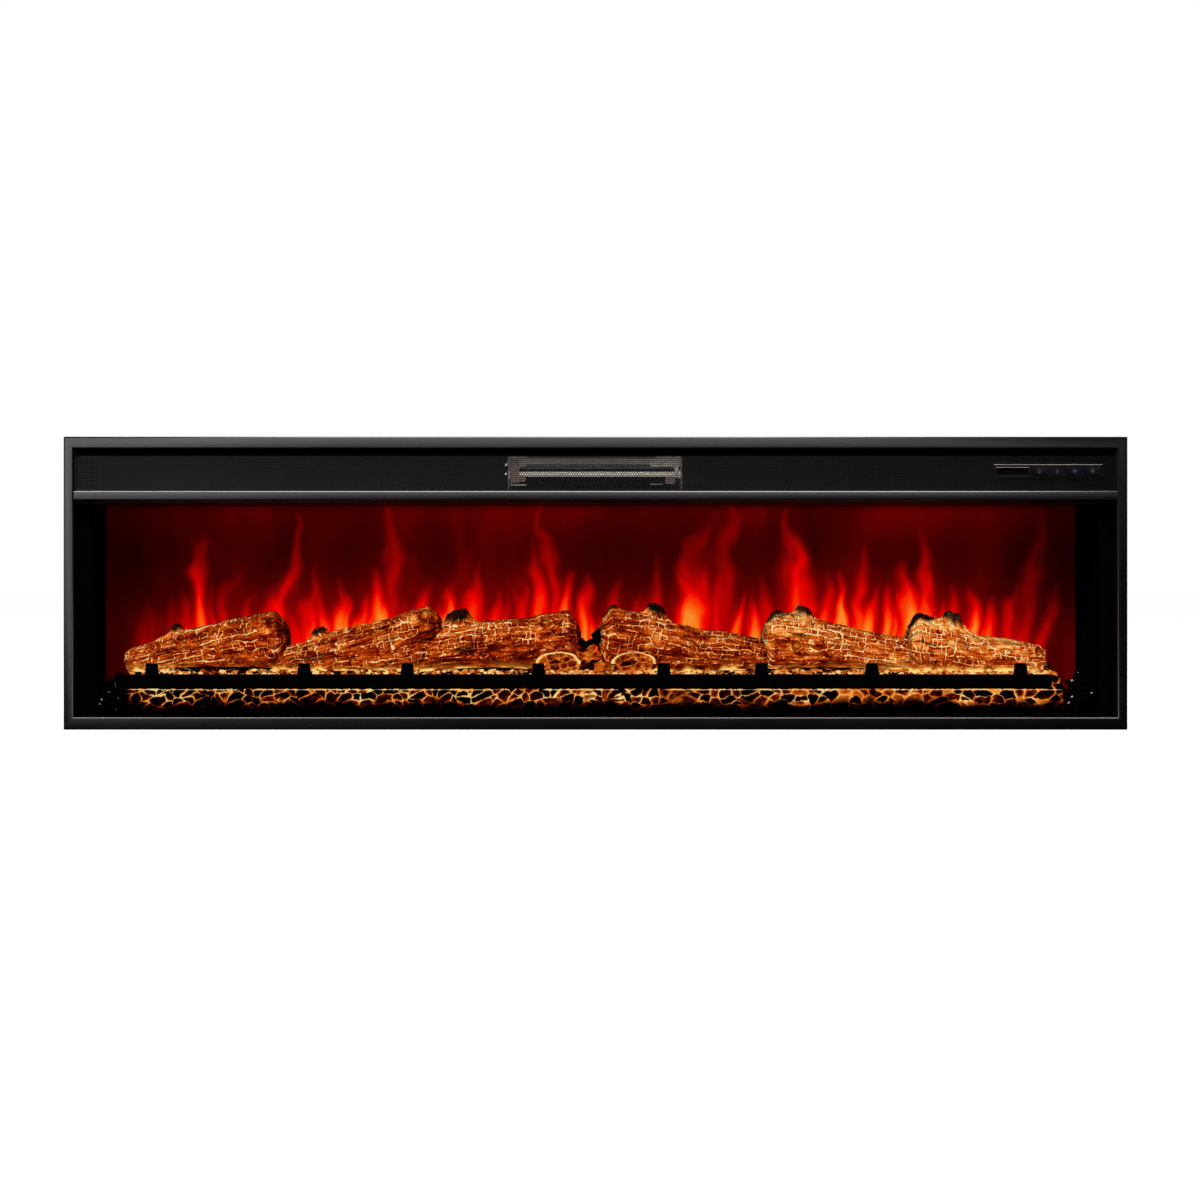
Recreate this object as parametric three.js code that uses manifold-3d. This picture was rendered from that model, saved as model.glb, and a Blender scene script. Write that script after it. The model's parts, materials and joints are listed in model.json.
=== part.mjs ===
// Built-in electric fireplace: a steel casing with a glazed flame chamber below, and a fan heater behind a
// perforated grille above. Sizes are in millimetres. X runs along the width, the front faces -Y, Z is up.
// The origin is the middle of the footprint, on the surface that the fireplace stands on.
import * as THREE from "three";
import { mergeVertices } from "three/addons/utils/BufferGeometryUtils.js";
import Module from "manifold-3d";

// ---------------------------------------------------------------- driving sizes
const WIDTH = 1524; // front frame, edge to edge
const WINDOW_HEIGHT = 310; // visible height of the glass
const GRILLE_HEIGHT = 60; // visible height of the grille
const CHAMBER_DEPTH = 120; // frame's front face to the flame screen
const FLAME_BAY = 66.3; // flame screen to back panel
const SHEET = 1.2; // casing steel
const FIT = 0.3; // gap left between pieces that touch

const FRAME = { side: 14.5, top: 17.5, bottom: 18, sheet: 1.5, lip: 14, returns: 12 };
const CASING = { sideInset: 10, topInset: 8, flange: 6 };
const RAIL = { height: 14.5, setBack: 1, depth: 13, sheet: 1.2 };
const GRILLE = { setBack: 8, sheet: 0.8 };
const GLASS = { thick: 4, belowRail: 10, sunk: 6 };
const CLIP = { length: 30, height: 12, thick: 1.5 };
const SCREEN = { thick: 2.5, edge: 17 };
const LINER = { thick: 22, sheet: 1.5 };
const DECK_DROP = 2; // heater deck's underside below the top of the window

const BED = { margin: 44, front: 22, sheet: 2.5 };
// The bed's section: steps back from its front edge, and the height at each.
const BED_STEPS = [[0, FIT + SHEET], [1, 22], [16, 48], [28, 68], [40, 75]];
const BED_REAR = { shelf: 79, shelfEnd: 12, top: 96, topInset: 1 };
const GRATE = { endLeft: 44, endRight: 66, front: 28, thick: 6, low: 57, bar: 21 };
const TINE = { height: 16, foot: 20, tip: 16 };
const TINE_SHARES = [0.032, 0.196, 0.307, 0.448, 0.583, 0.688, 0.807, 0.967];
const LOG_SET = { behind: 70, flatness: 0.72, sides: 10, endTaper: 0.75, stubSides: 8, stubTaper: 0.7 };
const HEAP = { width: 40, depth: 70, height: 84, setBack: 4 };
const NUGGET = { halfWidth: 34, halfDepth: 14, halfHeight: 20, behind: 50, height: 94 };

const ROTOR = { shaft: 2.5, height: 60, behindScreen: 26, endPlay: 2, spinners: 4, spinnerGap: 26 };
const PETAL = { count: 8, reach: 18, thick: 1, fill: 0.9, turns: 3, hubWall: 2 };
const FLAME_MOTOR = { radius: 22.5, thick: 20, socket: 8, clearance: 10 };
const MOTOR_EAR = { width: 14, reach: 8, sheet: 1.5 };
const SUPPORT = { bush: 7, width: 8, clearance: 12 };
const POST = { thick: 6, width: 10, overLeds: 3, footFrom: 8, footTo: 12, bridgeLow: 16, bridgeTop: 10 };
const LED = { board: 1.6, width: 12, chip: 5, chipHeight: 1.5, chips: 24, height: 14 };
const REFLECTOR = { sheet: 1, ahead: 16, bottom: 30, endGap: 4, topGap: 4 };
const CUT_FLAME = { count: 15, foot: 50, topMargin: 12, width: 0.28, short: 0.62, bulge: 1.5, lean: 0.5 };

const HEATER = { width: 250, mouthSetBack: 12, sheet: 1, lip: 1, topGap: 3 };
const THROAT = { length: 45, rise: 2 };
const LID = { length: 55, gap: 1, kneeBack: 5, kneeUp: 9, tongueAngle: 150 };
const FAN = { radius: 27, blades: 20, shaft: 3, behind: 125, endGap: 6 };
const BLADE = { depth: 7.2, thick: 1.2, edge: 0.8, pitch: 0.5, disc: 2 };
const SCROLL = { steps: 8, step: 20, start: -90, gap: 8, endGap: 4, tongueGap: 4 }; // angles in degrees
const FAN_MOTOR = { size: 54, stack: 18, can: 20, canRadius: 21, shaftIn: 8, shaftPlay: 0.6, blindEnd: 2 };
const ELEMENT = { behind: 24, thick: 5, belowLid: 1.5, bar: 9, spacing: 19.2, tube: 3.6 };
const BLOCK = { left: 25, right: 35, height: 16, proud: 1 };
const COLLAR = { length: 8, wall: 2, sides: 6 };
const CUTOUT = { radius: 8, height: 7, x: 60, behindMouth: 30 };
const POWER_BOARD = { length: 140, depth: 80, fromHeater: 65, behind: 60, standOff: 6, post: 6, sunk: 0.2 };
const TRANSFORMER = { x: 16, y: 20, length: 40, depth: 34, height: 32 };
const RELAY = { count: 3, x: 70, y: 14, length: 16, depth: 20, height: 16, pitch: 20 };
const TERMINALS = { x: 70, fromRight: 14, fromBack: 8, depth: 14, height: 13 };

const CONTROL = { length: 156, height: 20, fromRight: 20, belowMiddle: 2, setBack: 5, depth: 11 };
const BEZEL = { rim: 2, wall: 0.6 };
const BUTTON = { width: 22.6, height: 13.4, pitch: 25.4, gap: 0.3, proud: 0.8 };
const BUTTON_FLANGE = { reach: 0.8, thick: 1.2 };
const BUTTON_STEM = { width: 6, sunk: 0.5 };
const BUTTON_NAMES = ["power", "flame", "heat", "timer"]; // left to right
const BUTTON_TRAVEL = 1.5;
const DISPLAY = { width: 48, height: 15, thick: 1.4, fromEnd: 2.8, lap: 1.6 };
const CONTROL_BOARD = { endInset: 4, edgeInset: 2, plugX: 20, plugLength: 20, plugDepth: 7, plugInset: 5 };

const BRACKET = { length: 60, height: 90, thick: 1.5, behind: 70, hole: 2.6, holeSpacing: 60 };
const GLAND = { flange: 10, flangeThick: 4, chamfer: 1.5, neck: 6, bore: 4.2, inside: 5 };
const GLAND_PLACE = { fromBack: 22, height: 18 };
const VENT = { length: 30, height: 3.5, pitch: 8, rows: 4, columns: 7, spacing: 44, groupMiddle: 420 };
const VENT_BELOW_DECK = 48; // the slots cool the space behind the flame screen
const SCREW = { head: 3.6, headHeight: 1.8, headTaper: 0.8, shank: 1.6, length: 7 };
const SCREW_PLACE = { fromSide: 150, fromEdge: 40 };
const ROUND = { bush: 12, shaft: 10, can: 20, fan: 24 }; // flats on the shapes that stand for round ones

// ---------------------------------------------------------------- levels and planes worked out from them
const DEPTH = CHAMBER_DEPTH + SCREEN.thick + FLAME_BAY + SHEET;
const OPENING_HALF = WIDTH / 2 - FRAME.side;
const WINDOW_TOP = FRAME.bottom + WINDOW_HEIGHT;
const GRILLE_BOTTOM = WINDOW_TOP + RAIL.height;
const GRILLE_TOP = GRILLE_BOTTOM + GRILLE_HEIGHT;
const HEIGHT = GRILLE_TOP + FRAME.top;
const CASING_HALF = WIDTH / 2 - CASING.sideInset;
const CASING_TOP = HEIGHT - CASING.topInset;
const INSIDE_HALF = CASING_HALF - SHEET - FIT; // what fits between the side panels
const CASING_FRONT = FRAME.sheet + FIT;
const GLASS_FRONT = FRAME.lip + FIT;
const GLASS_BACK = GLASS_FRONT + GLASS.thick;
const DECK_UNDER = WINDOW_TOP - DECK_DROP;
const DECK_TOP = DECK_UNDER + SHEET;
const COVER_UNDER = CASING_TOP - SHEET;
const CHAMBER_HALF = INSIDE_HALF - LINER.thick;
const FLOOR_TOP = SHEET + FIT;
const SCREEN_BACK = CHAMBER_DEPTH + FIT + SCREEN.thick;
const BACK_INSIDE = DEPTH - SHEET - FIT;
const ROTOR_BEHIND = SCREEN_BACK + ROTOR.behindScreen;
const FAN_HEIGHT = DECK_TOP + FIT + 2 * HEATER.sheet + SCROLL.gap + FAN.radius;
const GRATE_LEFT = -CHAMBER_HALF + GRATE.endLeft;
const GRATE_LENGTH = 2 * CHAMBER_HALF - GRATE.endLeft - GRATE.endRight;
const BED_HALF = CHAMBER_HALF - BED.margin;

// Each log lies between two points. x is the share of the grate's length, and z and r are the height of the
// log's middle and its radius there. A stub is a broken branch on top.
const LOGS = [
  {
    from: { x: 0.001, z: 91, r: 18 },
    to: { x: 0.171, z: 137, r: 32 },
    stub: { at: 0.25, r: 9, rise: 9 },
  },
  {
    from: { x: 0.160, z: 90, r: 18 },
    to: { x: 0.338, z: 148, r: 29 },
    stub: { at: 0.2, r: 9, rise: 9 },
  },
  {
    from: { x: 0.280, z: 92, r: 21 },
    to: { x: 0.488, z: 127, r: 42 },
    stub: { at: 0.45, r: 15, rise: 16 },
  },
  {
    from: { x: 0.521, z: 126, r: 43 },
    to: { x: 0.702, z: 103, r: 21 },
    stub: { at: 0.3, r: 12, rise: 14 },
  },
  {
    from: { x: 0.708, z: 126, r: 41 },
    to: { x: 0.858, z: 104, r: 19 },
    stub: { at: 0.25, r: 10, rise: 12 },
  },
  {
    from: { x: 0.861, z: 123, r: 41 },
    to: { x: 1.0, z: 97, r: 18 },
    stub: { at: 0.35, r: 12, rise: 14 },
  },
];
const NUGGET_SHARES = [0.470, 0.552];

// ---------------------------------------------------------------- finishes
const finish = (color, roughness, metalness = 0, more = {}) =>
  new THREE.MeshStandardMaterial({ color, roughness, metalness, ...more });
const FINISH = {
  frame: finish(0x2b282b, 0.45, 0.3),
  casing: finish(0x1d1d1f, 0.55, 0.3),
  mesh: finish(0x242225, 0.5, 0.4),
  liner: finish(0x070707, 0.25),
  glass: finish(0x0a0a0a, 0.05, 0, { transparent: true, opacity: 0.2 }),
  screen: finish(0x5a0604, 0.6),
  reflector: finish(0xc8c8cc, 0.15, 1),
  zinc: finish(0xa6a8aa, 0.35, 1),
  log: finish(0x7a4a22, 0.8),
  ember: finish(0x3a1c0c, 0.85),
  coal: finish(0x0b0b0b, 0.35),
  iron: finish(0x0c0c0c, 0.7),
  element: finish(0xb9b2a4, 0.4, 0.8),
  plastic: finish(0x121214, 0.4),
  button: finish(0x18181c, 0.35),
  display: finish(0x050505, 0.08),
  board: finish(0x1e4a30, 0.6),
  rubber: finish(0x0e0e0e, 0.8),
};

// ---------------------------------------------------------------- solids
const wasm = await Module();
wasm.setup();

// A closed geometry as a manifold-3d solid.
function toSolid(geometry) {
  const bare = geometry.index ? geometry.toNonIndexed() : geometry.clone();
  bare.deleteAttribute("normal");
  bare.deleteAttribute("uv");
  const merged = mergeVertices(bare, 1e-3);
  const vertProperties = merged.attributes.position.array;
  const triVerts = new Uint32Array(merged.index.array);
  return new wasm.Manifold(new wasm.Mesh({ numProp: 3, vertProperties, triVerts }));
}

function toGeometry(solid) {
  const found = solid.getMesh();
  const geometry = new THREE.BufferGeometry();
  geometry.setAttribute("position", new THREE.BufferAttribute(found.vertProperties, 3));
  geometry.setIndex(new THREE.BufferAttribute(found.triVerts, 1));
  geometry.computeVertexNormals();
  return geometry;
}

const join = (...geometries) => toGeometry(geometries.map(toSolid).reduce((a, b) => a.add(b)));
const cut = (geometry, ...tools) =>
  toGeometry(tools.map(toSolid).reduce((a, b) => a.subtract(b), toSolid(geometry)));

// ---------------------------------------------------------------- shapes
const behind = (distance) => distance - DEPTH / 2; // Y of the plane that far behind the frame's front face

function rectangle(x0, x1, z0, z1) {
  return new THREE.Shape([
    new THREE.Vector2(x0, z0),
    new THREE.Vector2(x1, z0),
    new THREE.Vector2(x1, z1),
    new THREE.Vector2(x0, z1),
  ]);
}

function hole(shape, x0, x1, z0, z1) {
  shape.holes.push(rectangle(x0, x1, z0, z1));
  return shape;
}

const STRAIGHT = { bevelEnabled: false, curveSegments: 6 };

// A shape drawn in X and Z, given a thickness that runs back from Y = 0.
function plate(shape, thick) {
  const geometry = new THREE.ExtrudeGeometry(shape, { ...STRAIGHT, depth: thick });
  return geometry.rotateX(Math.PI / 2).translate(0, thick, 0);
}

// A shape drawn in Y and Z, run from x0 to x1.
function alongX(shape, x0, x1) {
  const geometry = new THREE.ExtrudeGeometry(shape, { ...STRAIGHT, depth: x1 - x0 });
  const axes = [new THREE.Vector3(0, 1, 0), new THREE.Vector3(0, 0, 1), new THREE.Vector3(1, 0, 0)];
  return geometry.applyMatrix4(new THREE.Matrix4().makeBasis(...axes)).translate(x0, 0, 0);
}

// A box by its two corners.
function box(x0, x1, y0, y1, z0, z1) {
  const geometry = new THREE.BoxGeometry(x1 - x0, y1 - y0, z1 - z0);
  return geometry.translate((x0 + x1) / 2, (y0 + y1) / 2, (z0 + z1) / 2);
}

// The same, with its two ends along X in either order.
function spanBox(xa, xb, ...rest) {
  return box(Math.min(xa, xb), Math.max(xa, xb), ...rest);
}

// A round bar along X with its middle at y, z.
function roundX(radius, x0, x1, y, z, sides = 16) {
  const geometry = new THREE.CylinderGeometry(radius, radius, x1 - x0, sides);
  return geometry.rotateZ(-Math.PI / 2).translate((x0 + x1) / 2, y, z);
}

// A bent sheet seen end on: a line of [y, z] points, thickened to its left.
function bentSheet(line, thick) {
  const points = line.map(([y, z]) => new THREE.Vector2(y, z));
  const offset = points.map((point, i) => {
    const before = points[Math.max(i - 1, 0)];
    const after = points[Math.min(i + 1, points.length - 1)];
    const normal = new THREE.Vector2(before.y - after.y, after.x - before.x).normalize();
    return point.clone().addScaledVector(normal, thick);
  });
  return new THREE.Shape([...points, ...offset.reverse()]);
}

const fireplace = new THREE.Group();

function add(name, geometry, material, y = 0) {
  const mesh = new THREE.Mesh(geometry, material);
  mesh.name = name;
  mesh.position.y = y;
  fireplace.add(mesh);
  return mesh;
}

// ---------------------------------------------------------------- front
// The frame is a folded ring: a flat face, a return round the outside and a lip round the opening.
function frontFrame() {
  const half = WIDTH / 2;
  const edge = (inset) => [-half + inset, half - inset, inset, HEIGHT - inset];
  const opening = (grow) => {
    const reach = OPENING_HALF + grow;
    return [-reach, reach, FRAME.bottom - grow, GRILLE_TOP + grow];
  };
  const ring = (outer, inner, thick) => plate(hole(rectangle(...outer), ...inner), thick);
  const face = ring(edge(0), opening(0), FRAME.sheet);
  const outerReturn = ring(edge(0), edge(FRAME.sheet), FRAME.returns);
  const lip = ring(opening(FRAME.sheet), opening(0), FRAME.lip);
  add("front_frame", join(face, outerReturn, lip), FINISH.frame, behind(0));
}

// A channel with its open side to the rear.
function centreRail() {
  const outer = rectangle(0, RAIL.depth, WINDOW_TOP, GRILLE_BOTTOM);
  const inner = [RAIL.sheet, RAIL.depth + 1, WINDOW_TOP + RAIL.sheet, GRILLE_BOTTOM - RAIL.sheet];
  const half = OPENING_HALF - FIT;
  const channel = cut(
    alongX(outer, -half, half),
    alongX(rectangle(...inner), -half - 1, half + 1),
  );
  add("centre_rail", channel, FINISH.frame, behind(RAIL.setBack));
}

const CONTROL_RIGHT = OPENING_HALF - CONTROL.fromRight;
const CONTROL_LEFT = CONTROL_RIGHT - CONTROL.length;
const CONTROL_MIDDLE = GRILLE_BOTTOM + GRILLE_HEIGHT / 2 - CONTROL.belowMiddle;
const CONTROL_LOW = CONTROL_MIDDLE - CONTROL.height / 2;
const CONTROL_HIGH = CONTROL_MIDDLE + CONTROL.height / 2;

function meshGrille() {
  const half = OPENING_HALF - FIT;
  const sheet = rectangle(-half, half, GRILLE_BOTTOM + FIT, GRILLE_TOP - FIT);
  const inset = BEZEL.rim - 2 * FIT;
  hole(sheet, CONTROL_LEFT + inset, CONTROL_RIGHT - inset, CONTROL_LOW + inset, CONTROL_HIGH - inset);
  add("mesh_grille", plate(sheet, GRILLE.sheet), FINISH.mesh, behind(GRILLE.setBack));
}

function frontGlass() {
  const z0 = FRAME.bottom - GLASS.sunk;
  const pane = box(-INSIDE_HALF, INSIDE_HALF, 0, GLASS.thick, z0, WINDOW_TOP + GLASS.belowRail);
  add("front_glass", pane, FINISH.glass, behind(GLASS_FRONT));
  // An angle in each lower corner holds the pane against the lip.
  for (const [name, side] of [["left", -1], ["right", 1]]) {
    const leg = new THREE.Shape([
      new THREE.Vector2(side * INSIDE_HALF, z0),
      new THREE.Vector2(side * (INSIDE_HALF - CLIP.length), z0),
      new THREE.Vector2(side * (INSIDE_HALF - CLIP.length), z0 + CLIP.height),
      new THREE.Vector2(side * (INSIDE_HALF - CLIP.height), z0 + CLIP.length),
      new THREE.Vector2(side * INSIDE_HALF, z0 + CLIP.length),
    ]);
    add(`glass_clip_${name}`, plate(leg, CLIP.thick), FINISH.casing, behind(GLASS_BACK + FIT));
  }
}

// ---------------------------------------------------------------- casing
function casing() {
  const base = box(-INSIDE_HALF, INSIDE_HALF, behind(FRAME.returns + FIT), behind(BACK_INSIDE), 0, SHEET);
  add("base_pan", base, FINISH.casing);

  const across = [-INSIDE_HALF, INSIDE_HALF, behind(CASING_FRONT)];
  const cover = box(...across, behind(BACK_INSIDE), COVER_UNDER, CASING_TOP);
  const fold = box(...across, behind(CASING_FRONT + SHEET), COVER_UNDER - CASING.flange, CASING_TOP);
  const screwHoles = coverScrewPlaces().map(([x, y]) => {
    const bore = new THREE.CylinderGeometry(SCREW.shank + FIT, SCREW.shank + FIT, 4 * SHEET, ROUND.shaft);
    return bore.rotateX(Math.PI / 2).translate(x, y, CASING_TOP);
  });
  add("top_cover", cut(join(cover, fold), ...screwHoles), FINISH.casing);

  for (const [name, side] of [["left", -1], ["right", 1]]) {
    const outer = side * CASING_HALF;
    const inner = side * (CASING_HALF - SHEET);
    const front = FRAME.returns + FIT;
    const wall = spanBox(outer, inner, behind(front), behind(BACK_INSIDE), 0, CASING_TOP);
    const tab = spanBox(outer, inner, behind(CASING_FRONT), behind(front + SHEET), CASING_FRONT, CASING_TOP);
    const through = [CASING_HALF - 2 * SHEET, CASING_HALF + SHEET];
    const glandY = behind(DEPTH - GLAND_PLACE.fromBack);
    const glandHole = roundX(GLAND.neck + FIT, ...through, glandY, GLAND_PLACE.height);
    const panel = join(wall, tab);
    add(`side_panel_${name}`, side > 0 ? cut(panel, glandHole) : panel, FINISH.casing);
  }

  const back = box(-CASING_HALF, CASING_HALF, 0, SHEET, 0, CASING_TOP);
  const slots = [];
  for (const group of [-1, 1]) {
    for (let column = 0; column < VENT.columns; column += 1) {
      for (let row = 0; row < VENT.rows; row += 1) {
        const x = group * VENT.groupMiddle + (column - (VENT.columns - 1) / 2) * VENT.spacing;
        const z = DECK_UNDER - VENT_BELOW_DECK + row * VENT.pitch;
        slots.push(box(x - VENT.length / 2, x + VENT.length / 2, -SHEET, 2 * SHEET, z, z + VENT.height));
      }
    }
  }
  add("back_panel", cut(back, ...slots), FINISH.casing, behind(DEPTH - SHEET));
}

// The cover is held by four screws, two near each end.
function coverScrewPlaces() {
  const x = INSIDE_HALF - SCREW_PLACE.fromSide;
  const near = behind(SCREW_PLACE.fromEdge);
  const far = behind(DEPTH - SCREW_PLACE.fromEdge);
  return [[-x, near], [x, near], [-x, far], [x, far]];
}

function coverScrews() {
  coverScrewPlaces().forEach(([x, y], i) => {
    const profile = [
      [0, -SCREW.length],
      [SCREW.shank, -SCREW.length],
      [SCREW.shank, FIT],
      [SCREW.head, FIT],
      [SCREW.head * SCREW.headTaper, SCREW.headHeight],
      [0, SCREW.headHeight],
    ].map(([r, z]) => new THREE.Vector2(r, z));
    const screw = new THREE.LatheGeometry(profile, ROUND.shaft).rotateX(Math.PI / 2);
    add(`cover_screw_${i + 1}`, screw.translate(x, y, CASING_TOP), FINISH.zinc);
  });
}

function mountingBrackets() {
  for (const [name, side] of [["left", -1], ["right", 1]]) {
    const z = HEIGHT / 2;
    const middle = behind(BRACKET.behind + BRACKET.length / 2);
    const inner = side * (CASING_HALF + FIT);
    const blank = spanBox(inner, inner + side * BRACKET.thick, middle - BRACKET.length / 2,
      middle + BRACKET.length / 2, z - BRACKET.height / 2, z + BRACKET.height / 2);
    const holes = [-1, 1].map((end) => {
      const height = z + end * BRACKET.holeSpacing / 2;
      return roundX(BRACKET.hole, -WIDTH / 2, WIDTH / 2, middle, height, ROUND.shaft);
    });
    add(`mounting_bracket_${name}`, cut(blank, ...holes), FINISH.zinc);
  }
}

// The bush that the mains lead leaves through. The lead itself isn't part of the model.
function cordGland() {
  const profile = [
    [GLAND.bore, -GLAND.inside],
    [GLAND.neck, -GLAND.inside],
    [GLAND.neck, SHEET + FIT],
    [GLAND.flange, SHEET + FIT],
    [GLAND.flange - GLAND.chamfer, SHEET + FIT + GLAND.flangeThick],
    [GLAND.bore, SHEET + FIT + GLAND.flangeThick],
    [GLAND.bore, -GLAND.inside],
  ].map(([r, x]) => new THREE.Vector2(r, x));
  const bush = new THREE.LatheGeometry(profile).rotateZ(-Math.PI / 2);
  bush.translate(CASING_HALF - SHEET, behind(DEPTH - GLAND_PLACE.fromBack), GLAND_PLACE.height);
  add("cord_gland", bush, FINISH.rubber);
}

// ---------------------------------------------------------------- flame chamber
function chamber() {
  const deckFront = behind(GLASS_BACK + FIT);
  const deck = box(-INSIDE_HALF, INSIDE_HALF, deckFront, behind(BACK_INSIDE), DECK_UNDER, DECK_TOP);
  add("heater_deck", deck, FINISH.casing);
  // Each liner is a channel with its open side to the casing.
  const front = GLASS_BACK + 2 * FIT + CLIP.thick;
  for (const [name, side] of [["left", -1], ["right", 1]]) {
    const outside = side * CASING_HALF;
    const liner = spanBox(side * CHAMBER_HALF, side * INSIDE_HALF, behind(front), behind(CHAMBER_DEPTH),
      FLOOR_TOP, DECK_UNDER - FIT);
    const hollow = spanBox(side * (CHAMBER_HALF + LINER.sheet), outside, behind(front + LINER.sheet),
      behind(CHAMBER_DEPTH - LINER.sheet), 0, DECK_UNDER);
    add(`chamber_liner_${name}`, cut(liner, hollow), FINISH.liner);
  }
  const half = CHAMBER_HALF + SCREEN.edge;
  const screen = box(-half, half, 0, SCREEN.thick, FLOOR_TOP, DECK_UNDER - FIT);
  add("flame_screen", screen, FINISH.screen, behind(CHAMBER_DEPTH + FIT));
}

// The bed is a thin moulding, open underneath: a front slope, a shelf for the logs and a raised rear edge.
function bedLine() {
  const rear = CHAMBER_DEPTH - FIT - BED.sheet;
  return [
    ...BED_STEPS.map(([back, height]) => [behind(BED.front + back), height]),
    [behind(rear - BED_REAR.shelfEnd), BED_REAR.shelf],
    [behind(rear - BED_REAR.topInset), BED_REAR.top],
  ];
}

function emberBed() {
  const profile = bentSheet(bedLine(), -BED.sheet);
  add("ember_bed", alongX(profile, -BED_HALF, BED_HALF), FINISH.ember);
}

// What nothing on the bed may reach into: the bed with its hollow filled, a little proud.
function bedFilled() {
  const line = bedLine().map(([y, z]) => new THREE.Vector2(y, z + FIT));
  const rear = line[line.length - 1].x;
  const floor = [new THREE.Vector2(rear, 0), new THREE.Vector2(line[0].x, 0)];
  return alongX(new THREE.Shape([...line, ...floor]), -BED_HALF - FIT, BED_HALF + FIT);
}

function grateBar() {
  const right = GRATE_LEFT + GRATE_LENGTH;
  const top = GRATE.low + GRATE.bar;
  const outline = [[GRATE_LEFT, GRATE.low], [right, GRATE.low], [right, top]];
  [...TINE_SHARES].reverse().forEach((share) => {
    const x = GRATE_LEFT + share * GRATE_LENGTH;
    outline.push([x + TINE.foot / 2, top], [x + TINE.tip / 2, top + TINE.height]);
    outline.push([x - TINE.tip / 2, top + TINE.height], [x - TINE.foot / 2, top]);
  });
  outline.push([GRATE_LEFT, top]);
  const shape = new THREE.Shape(outline.map(([x, z]) => new THREE.Vector2(x, z)));
  add("grate_bar", plate(shape, GRATE.thick), FINISH.iron, behind(GRATE.front));
}

// A tapered round log on a sloping line, flattened front to back. grow makes it a tool to cut its neighbour.
function logGeometry(log, grow = 0) {
  const x0 = GRATE_LEFT + log.from.x * GRATE_LENGTH;
  const x1 = GRATE_LEFT + log.to.x * GRATE_LENGTH;
  const rise = log.to.z - log.from.z;
  const length = Math.hypot(x1 - x0, rise);
  const radius = (share) => THREE.MathUtils.lerp(log.from.r, log.to.r, share) + grow;
  const profile = [[0, -grow], [radius(0) * LOG_SET.endTaper, -grow]];
  for (const share of [0.06, 0.3, 0.55, 0.8, 0.94]) {
    profile.push([radius(share), share * length]);
  }
  profile.push([radius(1) * LOG_SET.endTaper, length + grow], [0, length + grow]);
  const points = profile.map(([r, along]) => new THREE.Vector2(r, along));
  const trunk = new THREE.LatheGeometry(points, LOG_SET.sides).rotateZ(-Math.PI / 2);
  trunk.scale(1, LOG_SET.flatness, 1);
  const { at, r, rise: up } = log.stub;
  const reach = radius(at) + up;
  const tip = r * LOG_SET.stubTaper + grow;
  const stub = new THREE.CylinderGeometry(tip, r + grow, reach, LOG_SET.stubSides).rotateX(Math.PI / 2);
  stub.translate(at * length, 0, reach / 2);
  const whole = join(trunk, stub);
  whole.rotateY(-Math.atan2(rise, x1 - x0));
  return whole.translate(x0, behind(LOG_SET.behind), log.from.z);
}

function logsAndEmbers() {
  const bed = bedFilled();
  LOGS.forEach((log, i) => {
    const neighbours = LOGS.slice(0, i).map((other) => logGeometry(other, FIT));
    add(`log_${i + 1}`, largest(cut(logGeometry(log), bed, ...neighbours)), FINISH.log);
  });
  const logTools = LOGS.map((log) => logGeometry(log, FIT));
  ["left", "right"].forEach((name, i) => {
    const lump = new THREE.IcosahedronGeometry(1, 1);
    lump.scale(NUGGET.halfWidth, NUGGET.halfDepth, NUGGET.halfHeight);
    lump.translate(GRATE_LEFT + NUGGET_SHARES[i] * GRATE_LENGTH, behind(NUGGET.behind), NUGGET.height);
    const grate = box(-WIDTH, WIDTH, behind(0), behind(GRATE.front + GRATE.thick + FIT), 0, HEIGHT);
    add(`ember_nugget_${name}`, largest(cut(lump, bed, grate, ...logTools)), FINISH.ember);
  });
  for (const [name, side] of [["left", -1], ["right", 1]]) {
    const heap = new THREE.IcosahedronGeometry(1, 1);
    const halfWidth = Math.min(HEAP.width, BED.margin - 4 * FIT) / 2;
    heap.scale(halfWidth, HEAP.depth / 2, HEAP.height / 2);
    const y = behind(BED.front + HEAP.setBack + HEAP.depth / 2);
    heap.translate(side * (BED_HALF + BED.margin / 2), y, FLOOR_TOP + FIT + HEAP.height / 2);
    const grateEnd = box(GRATE_LEFT - FIT, GRATE_LEFT + GRATE_LENGTH + FIT, behind(GRATE.front - FIT),
      behind(GRATE.front + GRATE.thick + FIT), 0, HEIGHT);
    add(`coal_heap_${name}`, largest(cut(heap, grateEnd)), FINISH.coal);
  }
}

// The biggest separate body of a geometry, without the slivers that a cut leaves.
function largest(geometry) {
  const bodies = toSolid(geometry).decompose();
  return toGeometry(bodies.reduce((a, b) => (b.volume() > a.volume() ? b : a)));
}

// ---------------------------------------------------------------- flame effect
function ledStrips() {
  const strip = (half, y, z) => {
    const board = box(-half, half, y - LED.width / 2, y + LED.width / 2, z, z + LED.board);
    const chips = [];
    for (let i = 0; i < LED.chips; i += 1) {
      const x = ((i + 0.5) / LED.chips * 2 - 1) * half;
      const top = z + LED.board + LED.chipHeight;
      const size = LED.chip / 2;
      chips.push(box(x - size, x + size, y - size, y + size, z + LED.board / 2, top));
    }
    return join(board, ...chips);
  };
  const underBed = behind((BED.front + CHAMBER_DEPTH) / 2);
  add("led_strip_flame", strip(CHAMBER_HALF, behind(ROTOR_BEHIND), LED.height), FINISH.board);
  add("led_strip_embers", strip(BED_HALF - LED.width, underBed, LED.height), FINISH.board);
}

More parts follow.
